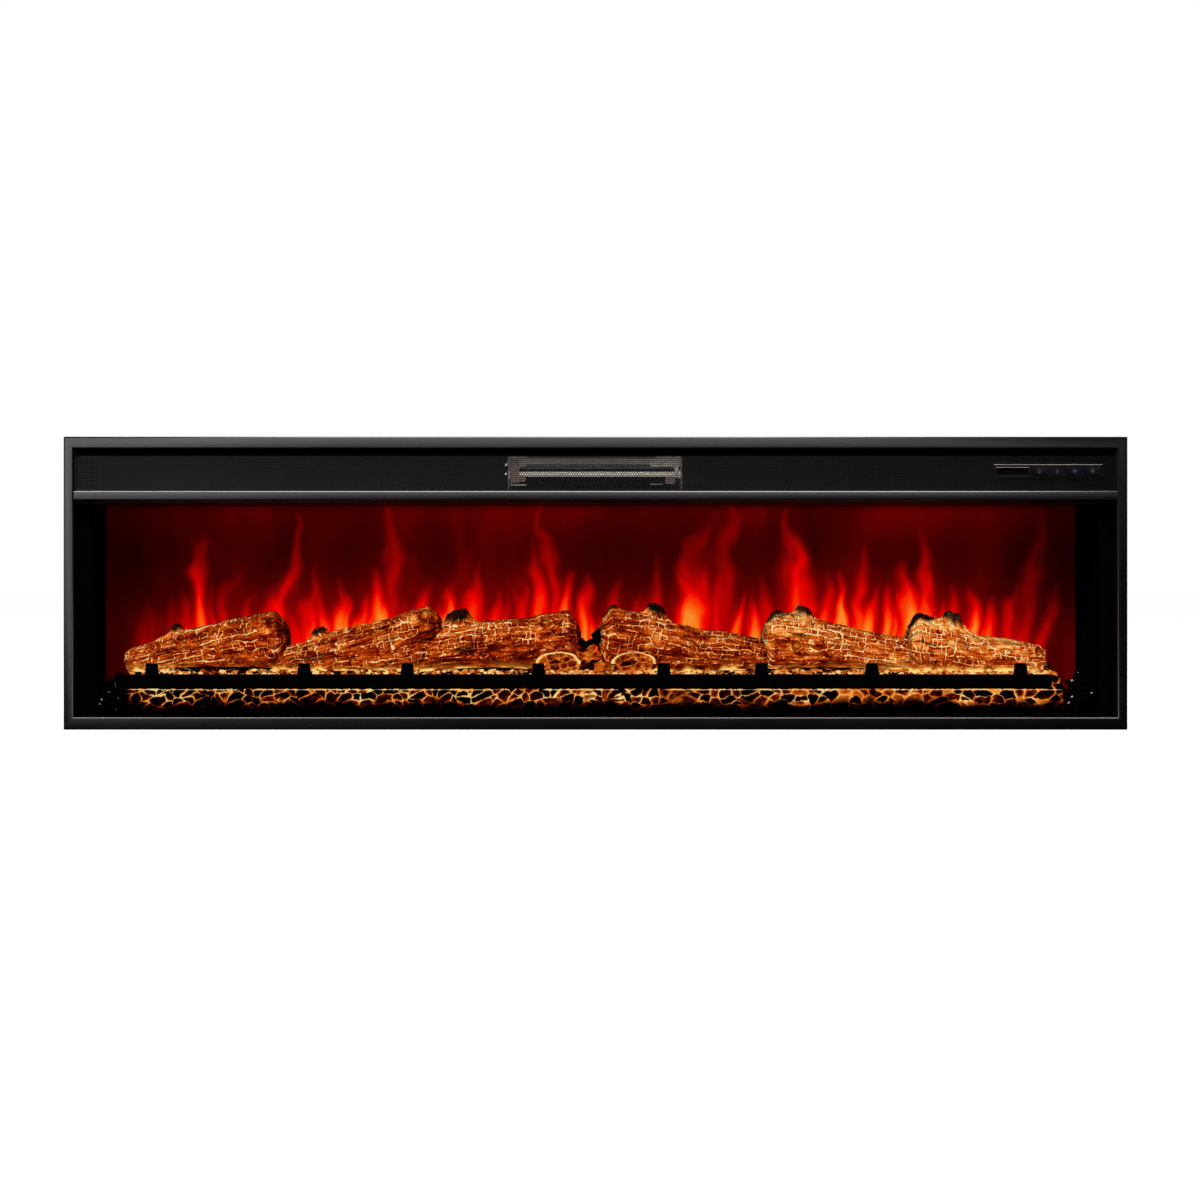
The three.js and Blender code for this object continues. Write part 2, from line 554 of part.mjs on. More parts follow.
// A tube that turns with the shaft, with bent petals set round it one after another.
function spinner(x0, x1, bore) {
  const hub = bore + PETAL.hubWall;
  const pitch = (x1 - x0) / PETAL.count;
  const pieces = [roundX(hub, x0, x1, 0, 0, ROUND.shaft)];
  for (let k = 0; k < PETAL.count; k += 1) {
    const length = pitch * PETAL.fill;
    const side = PETAL.thick / 2;
    const petal = box(-length / 2, length / 2, -side, side, hub - PETAL.thick, PETAL.reach);
    petal.translate(x0 + (k + 0.5) * pitch, 0, 0);
    pieces.push(petal.rotateX((k * 2 * Math.PI * PETAL.turns) / PETAL.count));
  }
  return cut(join(...pieces), roundX(bore, x0 - 1, x1 + 1, 0, 0, ROUND.shaft));
}

function flameRotor() {
  const y = behind(ROTOR_BEHIND);
  const z = ROTOR.height;
  const motorFace = INSIDE_HALF - FLAME_MOTOR.thick;
  const shaftEnd = motorFace + FLAME_MOTOR.socket - ROTOR.endPlay;
  const shaft = roundX(ROTOR.shaft, -INSIDE_HALF + ROTOR.endPlay, shaftEnd, y, z, ROUND.shaft);
  add("rotor_shaft", shaft, FINISH.zinc);

  const from = -INSIDE_HALF + SUPPORT.width + SUPPORT.clearance;
  const to = motorFace - FLAME_MOTOR.clearance;
  const pitch = (to - from) / ROTOR.spinners;
  const bore = ROTOR.shaft + FIT;
  for (let i = 0; i < ROTOR.spinners; i += 1) {
    const x0 = from + i * pitch + ROTOR.spinnerGap / 2;
    const x1 = from + (i + 1) * pitch - ROTOR.spinnerGap / 2;
    add(`rotor_spinner_${i + 1}`, spinner(x0, x1, bore).translate(0, y, z), FINISH.reflector);
  }

  const bushLeft = -INSIDE_HALF;
  const bush = cut(
    roundX(SUPPORT.bush, bushLeft, bushLeft + SUPPORT.width, y, z, ROUND.bush),
    roundX(bore, bushLeft - 1, bushLeft + SUPPORT.width + 1, y, z, ROUND.shaft),
  );
  add("rotor_bush", bush, FINISH.plastic);
  rotorSupport(from + Math.round(ROTOR.spinners / 2) * pitch, y, z, bore);

  const can = roundX(FLAME_MOTOR.radius, motorFace, INSIDE_HALF, y, z, ROUND.can);
  const ear = FLAME_MOTOR.radius + MOTOR_EAR.reach;
  const ears = box(INSIDE_HALF - MOTOR_EAR.sheet, INSIDE_HALF, y - MOTOR_EAR.width / 2,
    y + MOTOR_EAR.width / 2, z - ear, z + ear);
  const socket = roundX(bore, motorFace - 1, motorFace + FLAME_MOTOR.socket, y, z, ROUND.shaft);
  add("flame_motor", cut(join(can, ears), socket), FINISH.zinc);
}

// A post under the gap between the middle spinners carries the long shaft. It steps back over the LED strip.
function rotorSupport(x, y, z, bore) {
  const x0 = x - POST.thick / 2;
  const x1 = x + POST.thick / 2;
  const ledTop = LED.height + LED.board + LED.chipHeight;
  const post = box(x0, x1, y - POST.width / 2, y + POST.width / 2, ledTop + POST.overLeds, z);
  const foot = box(x0, x1, y + POST.footFrom, y + POST.footTo, FLOOR_TOP, z - POST.bridgeTop);
  const bridge = box(x0, x1, y - POST.width / 2, y + POST.footTo, z - POST.bridgeLow, z - POST.bridgeTop);
  const bush = roundX(SUPPORT.bush, x0, x1, y, z, ROUND.bush);
  const support = cut(join(post, foot, bridge, bush), roundX(bore, x0 - 1, x1 + 1, y, z, ROUND.shaft));
  add("rotor_support", support, FINISH.plastic);
}

// A polished sheet with a row of flame-shaped windows of alternating height.
function flameReflector() {
  const half = CHAMBER_HALF + SCREEN.edge - REFLECTOR.endGap;
  const top = DECK_UNDER - REFLECTOR.topGap;
  const sheet = rectangle(-half, half, REFLECTOR.bottom, top);
  const pitch = (2 * half) / CUT_FLAME.count;
  const width = pitch * CUT_FLAME.width;
  const z0 = REFLECTOR.bottom + CUT_FLAME.foot;
  for (let i = 0; i < CUT_FLAME.count; i += 1) {
    const x = -half + (i + 0.5) * pitch;
    const z1 = z0 + (top - z0 - CUT_FLAME.topMargin) * (i % 2 ? CUT_FLAME.short : 1);
    const tip = x + (i % 3 - 1) * width * CUT_FLAME.lean;
    const bulge = width * CUT_FLAME.bulge;
    const widest = (2 * z0 + z1) / 3;
    const flame = new THREE.Path();
    flame.moveTo(x, z0);
    flame.quadraticCurveTo(x + bulge, widest, tip, z1);
    flame.quadraticCurveTo(x - bulge, widest, x, z0);
    sheet.holes.push(flame);
  }
  const y = behind(DEPTH - SHEET - REFLECTOR.ahead);
  add("flame_reflector", plate(sheet, REFLECTOR.sheet), FINISH.reflector, y);
}

// ---------------------------------------------------------------- heater
const HEATER_HALF = HEATER.width / 2;
const HEATER_INSIDE = HEATER_HALF - HEATER.sheet - FIT;
const LID_TOP = GRILLE_TOP - HEATER.topGap - LID.gap - HEATER.sheet;

// Points on a circle round the fan's axis, as [y, z].
function roundFan(radius, degrees) {
  const angle = THREE.MathUtils.degToRad(degrees);
  return [behind(FAN.behind) + radius * Math.cos(angle), FAN_HEIGHT + radius * Math.sin(angle)];
}

function heaterDuct() {
  const scroll = [];
  for (let k = 0; k <= SCROLL.steps; k += 1) {
    const gap = THREE.MathUtils.lerp(SCROLL.gap, SCROLL.endGap, k / SCROLL.steps);
    scroll.push(roundFan(FAN.radius + gap, SCROLL.start + SCROLL.step * k));
  }
  const mouth = [behind(HEATER.mouthSetBack), GRILLE_BOTTOM + HEATER.lip];
  const throat = [behind(HEATER.mouthSetBack + THROAT.length), scroll[0][1] + THROAT.rise];
  const floor = bentSheet([mouth, throat, ...scroll], HEATER.sheet);
  const shell = alongX(floor, -HEATER_HALF, HEATER_HALF);
  const rear = FAN.behind + FAN.radius + SCROLL.gap;
  const outline = new THREE.Shape([
    mouth,
    throat,
    [behind(FAN.behind), DECK_TOP + FIT],
    [behind(rear), DECK_TOP + FIT],
    [behind(rear + 2 * HEATER.sheet), GRILLE_TOP - HEATER.topGap],
    [behind(HEATER.mouthSetBack), GRILLE_TOP - HEATER.topGap],
  ].map(([y, z]) => new THREE.Vector2(y, z)));
  const shaftHole = FAN.shaft + FAN_MOTOR.shaftPlay;
  const cheeks = [-HEATER_HALF, HEATER_HALF - HEATER.sheet].map((x0) => {
    const x1 = x0 + HEATER.sheet;
    const bore = roundX(shaftHole, x0 - 1, x1 + 1, behind(FAN.behind), FAN_HEIGHT, ROUND.bush);
    return cut(alongX(outline, x0, x1), bore);
  });
  add("heater_duct", join(shell, ...cheeks), FINISH.zinc);
}

// The lid closes the duct from above, down to a tongue close to the fan.
function heaterLid() {
  const tongue = roundFan(FAN.radius + SCROLL.tongueGap, LID.tongueAngle);
  const lid = bentSheet([
    [behind(HEATER.mouthSetBack), LID_TOP],
    [behind(HEATER.mouthSetBack + LID.length), LID_TOP],
    [tongue[0] - LID.kneeBack, tongue[1] + LID.kneeUp],
    tongue,
  ], -HEATER.sheet);
  add("heater_lid", alongX(lid, -HEATER_INSIDE, HEATER_INSIDE), FINISH.zinc);

  const disc = new THREE.CylinderGeometry(CUTOUT.radius, CUTOUT.radius, CUTOUT.height, ROUND.bush);
  disc.rotateX(Math.PI / 2);
  disc.translate(CUTOUT.x, behind(HEATER.mouthSetBack + CUTOUT.behindMouth), LID_TOP + FIT + CUTOUT.height / 2);
  add("thermal_cutout", disc, FINISH.plastic);
}

// A tangential fan: a ring of blades between two discs, on a shaft that reaches into the motor.
function fan() {
  const y = behind(FAN.behind);
  const half = HEATER_INSIDE - FAN.endGap;
  const disc = (x) => roundX(FAN.radius, x, x + BLADE.disc, 0, 0, ROUND.fan);
  const pieces = [disc(-half), disc(half - BLADE.disc)];
  const reach = half - BLADE.disc / 2;
  const top = BLADE.depth / 2;
  for (let i = 0; i < FAN.blades; i += 1) {
    const blade = box(-reach, reach, -BLADE.thick / 2, BLADE.thick / 2, -top, top);
    blade.rotateX(BLADE.pitch).translate(0, 0, FAN.radius - BLADE.edge - top);
    pieces.push(blade.rotateX((i * 2 * Math.PI) / FAN.blades));
  }
  const x0 = HEATER_HALF + FIT;
  const shaftEnd = x0 + FAN_MOTOR.shaftIn;
  pieces.push(roundX(FAN.shaft, -HEATER_HALF - SCROLL.tongueGap, shaftEnd, 0, 0, ROUND.bush));
  add("fan_impeller", join(...pieces).translate(0, y, FAN_HEIGHT), FINISH.plastic);

  const size = FAN_MOTOR.size / 2;
  const stack = box(x0, x0 + FAN_MOTOR.stack, y - size, y + size, FAN_HEIGHT - size, FAN_HEIGHT + size);
  const canEnd = x0 + FAN_MOTOR.stack + FAN_MOTOR.can;
  const can = roundX(FAN_MOTOR.canRadius, x0, canEnd, y, FAN_HEIGHT, ROUND.can);
  const shaftHole = FAN.shaft + FAN_MOTOR.shaftPlay;
  const bore = roundX(shaftHole, x0 - 1, shaftEnd + FAN_MOTOR.blindEnd, y, FAN_HEIGHT, ROUND.bush);
  add("fan_motor", cut(join(stack, can), bore), FINISH.zinc);
}

// The upper element's end blocks hang just below the lid, and the lower element hangs below them.
function heatingElements() {
  const y0 = behind(ELEMENT.behind);
  const y1 = y0 + ELEMENT.thick;
  const upper = LID_TOP - HEATER.sheet - ELEMENT.belowLid - BLOCK.height / 2;
  const half = HEATER_INSIDE;
  const bar = box(-half, half, y0, y1, upper - ELEMENT.bar / 2, upper + ELEMENT.bar / 2);
  const blocks = [[-half, -half + BLOCK.left], [half - BLOCK.right, half]].map(([x0, x1]) =>
    box(x0, x1, y0 - BLOCK.proud, y1 + BLOCK.proud, upper - BLOCK.height / 2, upper + BLOCK.height / 2));
  add("heating_element_upper", join(bar, ...blocks), FINISH.element);

  const y = y0 + ELEMENT.tube;
  const lower = upper - ELEMENT.spacing;
  const tube = roundX(ELEMENT.tube, -half, half, y, lower, ROUND.bush);
  const collars = [[-half, -half + COLLAR.length], [half - COLLAR.length, half]].map(([x0, x1]) =>
    roundX(ELEMENT.tube + COLLAR.wall, x0, x1, y, lower, COLLAR.sides));
  add("heating_element_lower", join(tube, ...collars), FINISH.element);
}

function powerBoard() {
  const x1 = -HEATER_HALF - POWER_BOARD.fromHeater;
  const x0 = x1 - POWER_BOARD.length;
  const y0 = behind(POWER_BOARD.behind);
  const y1 = y0 + POWER_BOARD.depth;
  const z0 = DECK_TOP + FIT;
  const z = z0 + POWER_BOARD.standOff;
  const board = box(x0, x1, y0, y1, z, z + LED.board);
  const posts = [];
  for (const x of [x0 + POWER_BOARD.post / 2, x1 - POWER_BOARD.post * 1.5]) {
    for (const y of [y0 + POWER_BOARD.post / 2, y1 - POWER_BOARD.post * 1.5]) {
      posts.push(box(x, x + POWER_BOARD.post, y, y + POWER_BOARD.post, z0, z + LED.board / 2));
    }
  }
  const top = z + LED.board - POWER_BOARD.sunk;
  const block = (x, y, length, depth, height) => box(x, x + length, y, y + depth, top, top + height);
  const transformer = block(x0 + TRANSFORMER.x, y0 + TRANSFORMER.y, TRANSFORMER.length, TRANSFORMER.depth,
    TRANSFORMER.height);
  const relays = [];
  for (let i = 0; i < RELAY.count; i += 1) {
    const x = x0 + RELAY.x + i * RELAY.pitch;
    relays.push(block(x, y0 + RELAY.y, RELAY.length, RELAY.depth, RELAY.height));
  }
  const terminals = box(x0 + TERMINALS.x, x1 - TERMINALS.fromRight, y1 - TERMINALS.fromBack - TERMINALS.depth,
    y1 - TERMINALS.fromBack, top, top + TERMINALS.height);
  add("power_board", join(board, ...posts, transformer, ...relays, terminals), FINISH.board);
}

// ---------------------------------------------------------------- controls
const BUTTONS_RIGHT = CONTROL_RIGHT - BEZEL.rim - BEZEL.wall - BUTTON_FLANGE.reach;
const buttonMiddle = (i) => BUTTONS_RIGHT - BUTTON.width / 2 - (BUTTON_NAMES.length - 1 - i) * BUTTON.pitch;

const RIM_THICK = GRILLE.setBack - CONTROL.setBack - FIT;
const DISPLAY_MIDDLE = CONTROL_LEFT + DISPLAY.fromEnd + DISPLAY.width / 2;

// A box round a place on the control panel, reaching the same way to both sides of it.
function controlBox(x, halfWidth, halfHeight, y0, y1) {
  return box(x - halfWidth, x + halfWidth, y0, y1, CONTROL_MIDDLE - halfHeight, CONTROL_MIDDLE + halfHeight);
}

// The bezel is a shallow box, open to the rear, with a rim that laps over the grille.
function controlBezel() {
  const rim = box(CONTROL_LEFT, CONTROL_RIGHT, 0, RIM_THICK, CONTROL_LOW, CONTROL_HIGH);
  const opening = (x, halfWidth, halfHeight) => controlBox(x, halfWidth, halfHeight, -1, RIM_THICK + 1);
  const openings = BUTTON_NAMES.map((name, i) =>
    opening(buttonMiddle(i), BUTTON.width / 2 + BUTTON.gap, BUTTON.height / 2 + BUTTON.gap));
  openings.push(opening(DISPLAY_MIDDLE, DISPLAY.width / 2 - DISPLAY.lap, DISPLAY.height / 2 - DISPLAY.lap));
  const inset = BEZEL.rim - FIT;
  const wall = (grow) => [CONTROL_LEFT + inset + grow, CONTROL_RIGHT - inset - grow,
    CONTROL_LOW + inset + grow, CONTROL_HIGH - inset - grow];
  const walls = plate(hole(rectangle(...wall(0)), ...wall(BEZEL.wall)), CONTROL.depth);
  add("control_bezel", join(cut(rim, ...openings), walls), FINISH.plastic, behind(CONTROL.setBack));
}

// The display window lies behind its opening in the bezel.
function displayWindow() {
  const pane = controlBox(DISPLAY_MIDDLE, DISPLAY.width / 2, DISPLAY.height / 2, 0, DISPLAY.thick);
  add("display_window", pane, FINISH.display, behind(CONTROL.setBack + RIM_THICK + FIT));
}

// Each button is a cap that stands proud of the bezel, a flange behind the rim that stops it, and a stem that
// reaches the switch on the board.
function buttons() {
  const capDepth = BUTTON.proud + RIM_THICK + BUTTON_TRAVEL / 2;
  const flangeFront = BUTTON.proud + RIM_THICK + FIT;
  const stemEnd = CONTROL.depth + BUTTON.proud - BUTTON_TRAVEL;
  const halfWidth = BUTTON.width / 2;
  const halfHeight = BUTTON.height / 2;
  BUTTON_NAMES.forEach((name, i) => {
    const x = buttonMiddle(i);
    const cap = controlBox(x, halfWidth, halfHeight, 0, capDepth);
    const flange = controlBox(x, halfWidth + BUTTON_FLANGE.reach, halfHeight + BUTTON_FLANGE.reach / 2,
      flangeFront, flangeFront + BUTTON_FLANGE.thick);
    const stem = controlBox(x, BUTTON_STEM.width / 2, BUTTON_STEM.width / 2, BUTTON_STEM.sunk, stemEnd);
    add(`button_${name}`, join(cap, flange, stem), FINISH.button, behind(CONTROL.setBack - BUTTON.proud));
  });
}

function controlBoard() {
  const { endInset, edgeInset, plugX, plugLength, plugDepth, plugInset } = CONTROL_BOARD;
  const board = box(CONTROL_LEFT + endInset, CONTROL_RIGHT - endInset, 0, LED.board,
    CONTROL_LOW + edgeInset, CONTROL_HIGH - edgeInset);
  const plug = box(CONTROL_LEFT + plugX, CONTROL_LEFT + plugX + plugLength, LED.board / 2,
    LED.board / 2 + plugDepth, CONTROL_LOW + plugInset, CONTROL_HIGH - plugInset);
  add("control_board", join(board, plug), FINISH.board, behind(CONTROL.setBack + CONTROL.depth + FIT));
}

frontFrame();
centreRail();
meshGrille();
frontGlass();
casing();
coverScrews();
mountingBrackets();
cordGland();
chamber();
emberBed();
grateBar();
logsAndEmbers();
ledStrips();
flameRotor();
flameReflector();
heaterDuct();
heaterLid();
fan();
heatingElements();
powerBoard();
controlBezel();
displayWindow();
buttons();
controlBoard();

export default fireplace;
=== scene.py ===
"""The looks of a built-in electric fireplace, built around its packed CAD frame.

X runs along the width, the front faces -Y and Z is up, in metres. The casing stands on the floor at Z = 0.
"""

import json
import math

import bmesh
import bpy
import numpy as np
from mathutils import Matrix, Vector


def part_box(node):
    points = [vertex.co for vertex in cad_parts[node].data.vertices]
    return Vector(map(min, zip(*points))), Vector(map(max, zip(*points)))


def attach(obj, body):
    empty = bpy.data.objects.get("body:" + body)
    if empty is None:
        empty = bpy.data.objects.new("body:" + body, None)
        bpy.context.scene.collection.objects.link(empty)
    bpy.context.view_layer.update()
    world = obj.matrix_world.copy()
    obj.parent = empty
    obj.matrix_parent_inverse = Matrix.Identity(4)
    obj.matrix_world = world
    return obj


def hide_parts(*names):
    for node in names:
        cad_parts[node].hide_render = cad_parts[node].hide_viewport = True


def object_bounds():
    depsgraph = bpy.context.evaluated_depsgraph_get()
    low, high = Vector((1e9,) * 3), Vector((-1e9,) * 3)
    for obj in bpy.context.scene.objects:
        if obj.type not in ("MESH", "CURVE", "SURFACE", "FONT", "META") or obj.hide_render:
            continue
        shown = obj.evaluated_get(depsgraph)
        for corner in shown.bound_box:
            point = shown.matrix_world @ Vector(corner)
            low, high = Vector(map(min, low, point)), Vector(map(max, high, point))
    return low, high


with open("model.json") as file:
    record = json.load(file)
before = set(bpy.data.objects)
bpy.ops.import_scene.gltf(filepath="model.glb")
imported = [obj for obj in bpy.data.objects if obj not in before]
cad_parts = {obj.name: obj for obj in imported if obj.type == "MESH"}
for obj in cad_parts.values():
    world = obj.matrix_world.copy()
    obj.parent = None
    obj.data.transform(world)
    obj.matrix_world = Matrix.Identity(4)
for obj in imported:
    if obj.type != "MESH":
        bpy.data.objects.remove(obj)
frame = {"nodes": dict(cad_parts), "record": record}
CAD_BOX = [list(corner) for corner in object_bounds()]

bl_info = {
    "name": "Electric Fireplace",
    "version": (1, 0, 0),
    "blender": (4, 5, 0),
    "location": "3D View > Sidebar > Fireplace",
    "description": "Builds the looks of a built-in electric fireplace around its CAD frame",
    "category": "Add Mesh",
}

MM = 0.001
CASING = "casing"
BUTTONS = ("power", "flame", "heat", "timer")


# ---------------------------------------------------------------- random fields, as whole arrays
def hashed(*whole, seed=0):
    """Random numbers from 0 to 1, one for each set of whole numbers, by multiplying and mixing their bits."""
    whole = np.broadcast_arrays(*[np.asarray(w, np.int64) for w in whole])
    mixed = np.full(whole[0].shape, seed * 7919 + 12345, np.uint32)
    for factor, value in zip((374761393, 668265263, 362437), whole):
        mixed = mixed ^ (value.astype(np.uint32) * np.uint32(factor))
        mixed = (mixed ^ (mixed >> np.uint32(13))) * np.uint32(1274126177)
    return ((mixed ^ (mixed >> np.uint32(16))) & np.uint32(0xFFFFFF)) / float(0xFFFFFF)


def noise(x, y, z=0.0, seed=0):
    """Smooth random values from -1 to 1: random numbers at whole points, blended by a smooth step between."""
    places = np.broadcast_arrays(*[np.asarray(p, float) for p in (x, y, z)])
    whole = [np.floor(p) for p in places]
    blend = [(p - w) ** 2 * (3 - 2 * (p - w)) for p, w in zip(places, whole)]
    total = np.zeros(places[0].shape)
    for corner in np.ndindex(2, 2, 2):
        weight = np.ones(places[0].shape)
        for step, share in zip(corner, blend):
            weight = weight * (share if step else 1 - share)
        total += weight * hashed(*[w + step for w, step in zip(whole, corner)], seed=seed)
    return total * 2 - 1


def layered(x, y, z=0.0, layers=4, seed=0):
    """Noise with finer and weaker noise added to it, each layer twice as fine and half as strong."""
    total = 0
    for k in range(layers):
        total = total + noise(x * 2**k, y * 2**k, z * 2**k, seed + k) / 2**k
    return total


def cells(u, v, jitter=0.9, seed=0):
    """Cells round one random point in each unit square: the distances to the nearest point and to the next
    nearest, and a random number that each cell has for itself."""
    u0, v0 = np.floor(u), np.floor(v)
    nearest = np.full(np.shape(u), 9.0)
    second = nearest.copy()
    own = np.zeros(np.shape(u))
    for du in (-1, 0, 1):
        for dv in (-1, 0, 1):
            cu, cv = u0 + du, v0 + dv
            pu = cu + 0.5 + jitter * (hashed(cu, cv, seed=seed) - 0.5)
            pv = cv + 0.5 + jitter * (hashed(cu, cv, seed=seed + 1) - 0.5)
            away = np.hypot(pu - u, pv - v)
            closer = away < nearest
            second = np.where(closer, nearest, np.minimum(second, away))
            own = np.where(closer, hashed(cu, cv, seed=seed + 2), own)
            nearest = np.where(closer, away, nearest)
    return nearest, second, own


def smooth(low, high, value):
    """0 below low, 1 above high and a smooth step between. low may be the larger, which turns it round."""
    share = np.clip((value - low) / (high - low), 0, 1)
    return share * share * (3 - 2 * share)


# ---------------------------------------------------------------- meshes from arrays
def grid_faces(rows, columns, wrap_rows=False, wrap_columns=False):
    """The quads between neighbours in a grid of points that are counted row by row."""
    starts = np.arange(rows - (not wrap_rows)), np.arange(columns - (not wrap_columns))
    row, column = np.meshgrid(*starts, indexing="ij")
    here, below = row * columns, (row + 1) % rows * columns
    after = (column + 1) % columns
    return np.stack([here + column, below + column, below + after, here + after], -1).reshape(-1, 4)


def pole_faces(ring, pole, flip):
    """The triangles from a closed ring of point numbers to one point."""
    after = np.roll(ring, -1)
    fan = np.stack([ring, after, np.full(len(ring), pole)], -1)
    return fan[:, ::-1] if flip else fan


def enclosed(points, faces):
    """The volume inside closed faces: the sum of the pyramids from the origin to each triangle."""
    total = 0.0
    for k in range(1, faces.shape[1] - 1):
        a, b, c = (points[faces[:, i]] for i in (0, k, k + 1))
        total += np.einsum("ij,ij->i", a, np.cross(b, c)).sum() / 6
    return total


class Shell:
    """Points, faces and values on the points, gathered until they become one mesh."""

    def __init__(self):
        self.points, self.faces, self.values, self.count = [], [], {}, 0

    def add(self, points, *face_sets, closed=True, **values):
        points = np.asarray(points, float).reshape(-1, 3)
        if closed and sum(enclosed(points, faces) for faces in face_sets) < 0:
            face_sets = [faces[:, ::-1] for faces in face_sets]
        self.points.append(points)
        self.faces += [faces + self.count for faces in face_sets]
        for name in set(values) | set(self.values):
            earlier = self.values.setdefault(name, [np.zeros(self.count)] if self.count else [])
            earlier.append(np.broadcast_to(np.ravel(values.get(name, 0.0)), len(points)))
        self.count += len(points)

    def tube(self, rings, **values):
        """Closed rings of points, carried one after another, with a point at each end that closes it."""
        count, around = rings.shape[:2]
        ends = rings[[0, -1]].mean(1)
        points = np.vstack([rings.reshape(-1, 3), ends])
        first = np.arange(around)
        last = first + (count - 1) * around
        sides = grid_faces(count, around, wrap_columns=True)
        caps = [pole_faces(first, count * around, False), pole_faces(last, count * around + 1, True)]
        grown = {}
        for name, value in values.items():
            value = np.broadcast_to(value, (count, around))
            grown[name] = np.concatenate([value.ravel(), [value[0].mean(), value[-1].mean()]])
        self.add(points, sides, *caps, **grown)

    def piece(self, name, material, body=CASING, slot=None, replaces=(), smooth_faces=True, sharp=None):
        """Makes the mesh, and declares the piece to the frame."""
        mesh = bpy.data.meshes.new(name)
        points = np.vstack(self.points)
        corners = np.concatenate([faces.ravel() for faces in self.faces])
        sizes = np.concatenate([np.full(len(faces), faces.shape[1]) for faces in self.faces])
        mesh.vertices.add(len(points))
        mesh.vertices.foreach_set("co", points.astype(np.float32).ravel())
        mesh.loops.add(len(corners))
        mesh.loops.foreach_set("vertex_index", corners.astype(np.int32))
        mesh.polygons.add(len(sizes))
        mesh.polygons.foreach_set("loop_start", np.concatenate([[0], np.cumsum(sizes)[:-1]]).astype(np.int32))
        mesh.polygons.foreach_set("use_smooth", np.full(len(sizes), smooth_faces))
        mesh.update(calc_edges=True)
        mesh.validate()
        for key, value in self.values.items():
            stored = mesh.attributes.new(key, "FLOAT", "POINT")
            stored.data.foreach_set("value", np.concatenate(value).astype(np.float32))
        if sharp is not None:
            mesh.set_sharp_from_angle(angle=math.radians(sharp))
        return finished(name, mesh, material, body, replaces)


def finished(name, mesh, material, body, replaces):
    """An object for the mesh, riding on its body and standing for the nodes that it replaces."""
    piece = bpy.data.objects.new(name, mesh)
    bpy.context.scene.collection.objects.link(piece)
    mesh.materials.clear()
    mesh.materials.append(material)
    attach(piece, body)
    if replaces:
        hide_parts(*replaces)
    return piece


def rounded_copy(node, name, material, body, width, segments=2):
    """A CAD node's shape with its edges rounded: its flat faces are merged, and a Bevel turns the edges."""
    edge_angle = math.radians(40)
    mesh = frame["nodes"][node].data.copy()
    shape = bmesh.new()
    shape.from_mesh(mesh)
    bmesh.ops.remove_doubles(shape, verts=shape.verts, dist=1e-6)
    bmesh.ops.dissolve_limit(shape, angle_limit=math.radians(1), verts=shape.verts, edges=shape.edges)
    bmesh.ops.recalc_face_normals(shape, faces=shape.faces)
    for face in shape.faces:
        face.smooth = True
    shape.to_mesh(mesh)
    shape.free()
    mesh.set_sharp_from_angle(angle=edge_angle)
    piece = finished(name, mesh, material, body, [node])
    bevel = piece.modifiers.new("rounded_edges", "BEVEL")
    bevel.width = width
    bevel.segments = segments
    bevel.limit_method = "ANGLE"
    bevel.angle_limit = edge_angle
    bevel.harden_normals = True
    return piece


# ---------------------------------------------------------------- shader maths
class Term:
    """A socket that takes part in Python arithmetic: each operator adds the Math node that works it out."""

    def __init__(self, finish, socket):
        self.finish, self.socket = finish, socket

    def _math(self, operation, first, second=None):
        inputs = {0: first} if second is None else {0: first, 1: second}
        return self.finish.node("ShaderNodeMath", {"operation": operation}, inputs)

    def __add__(self, other):
        return self._math("ADD", self, other)

    def __sub__(self, other):
        return self._math("SUBTRACT", self, other)

    def __rsub__(self, other):
        return self._math("SUBTRACT", other, self)

    def __mul__(self, other):
        return self._math("MULTIPLY", self, other)

    def __truediv__(self, other):
        return self._math("DIVIDE", self, other)

    def __pow__(self, other):
        return self._math("POWER", self, other)

    def exceeds(self, other):
        return self._math("GREATER_THAN", self, other)

    def step(self, low, high):
        """0 below low and 1 above high, with a smooth step between. low may be the larger."""
        if low > high:
            return 1 - self.step(high, low)
        inputs = {"Value": self, "From Min": low, "From Max": high}
        return self.finish.node("ShaderNodeMapRange", {"interpolation_type": "SMOOTHSTEP"}, inputs)

    __radd__ = __add__
    __rmul__ = __mul__


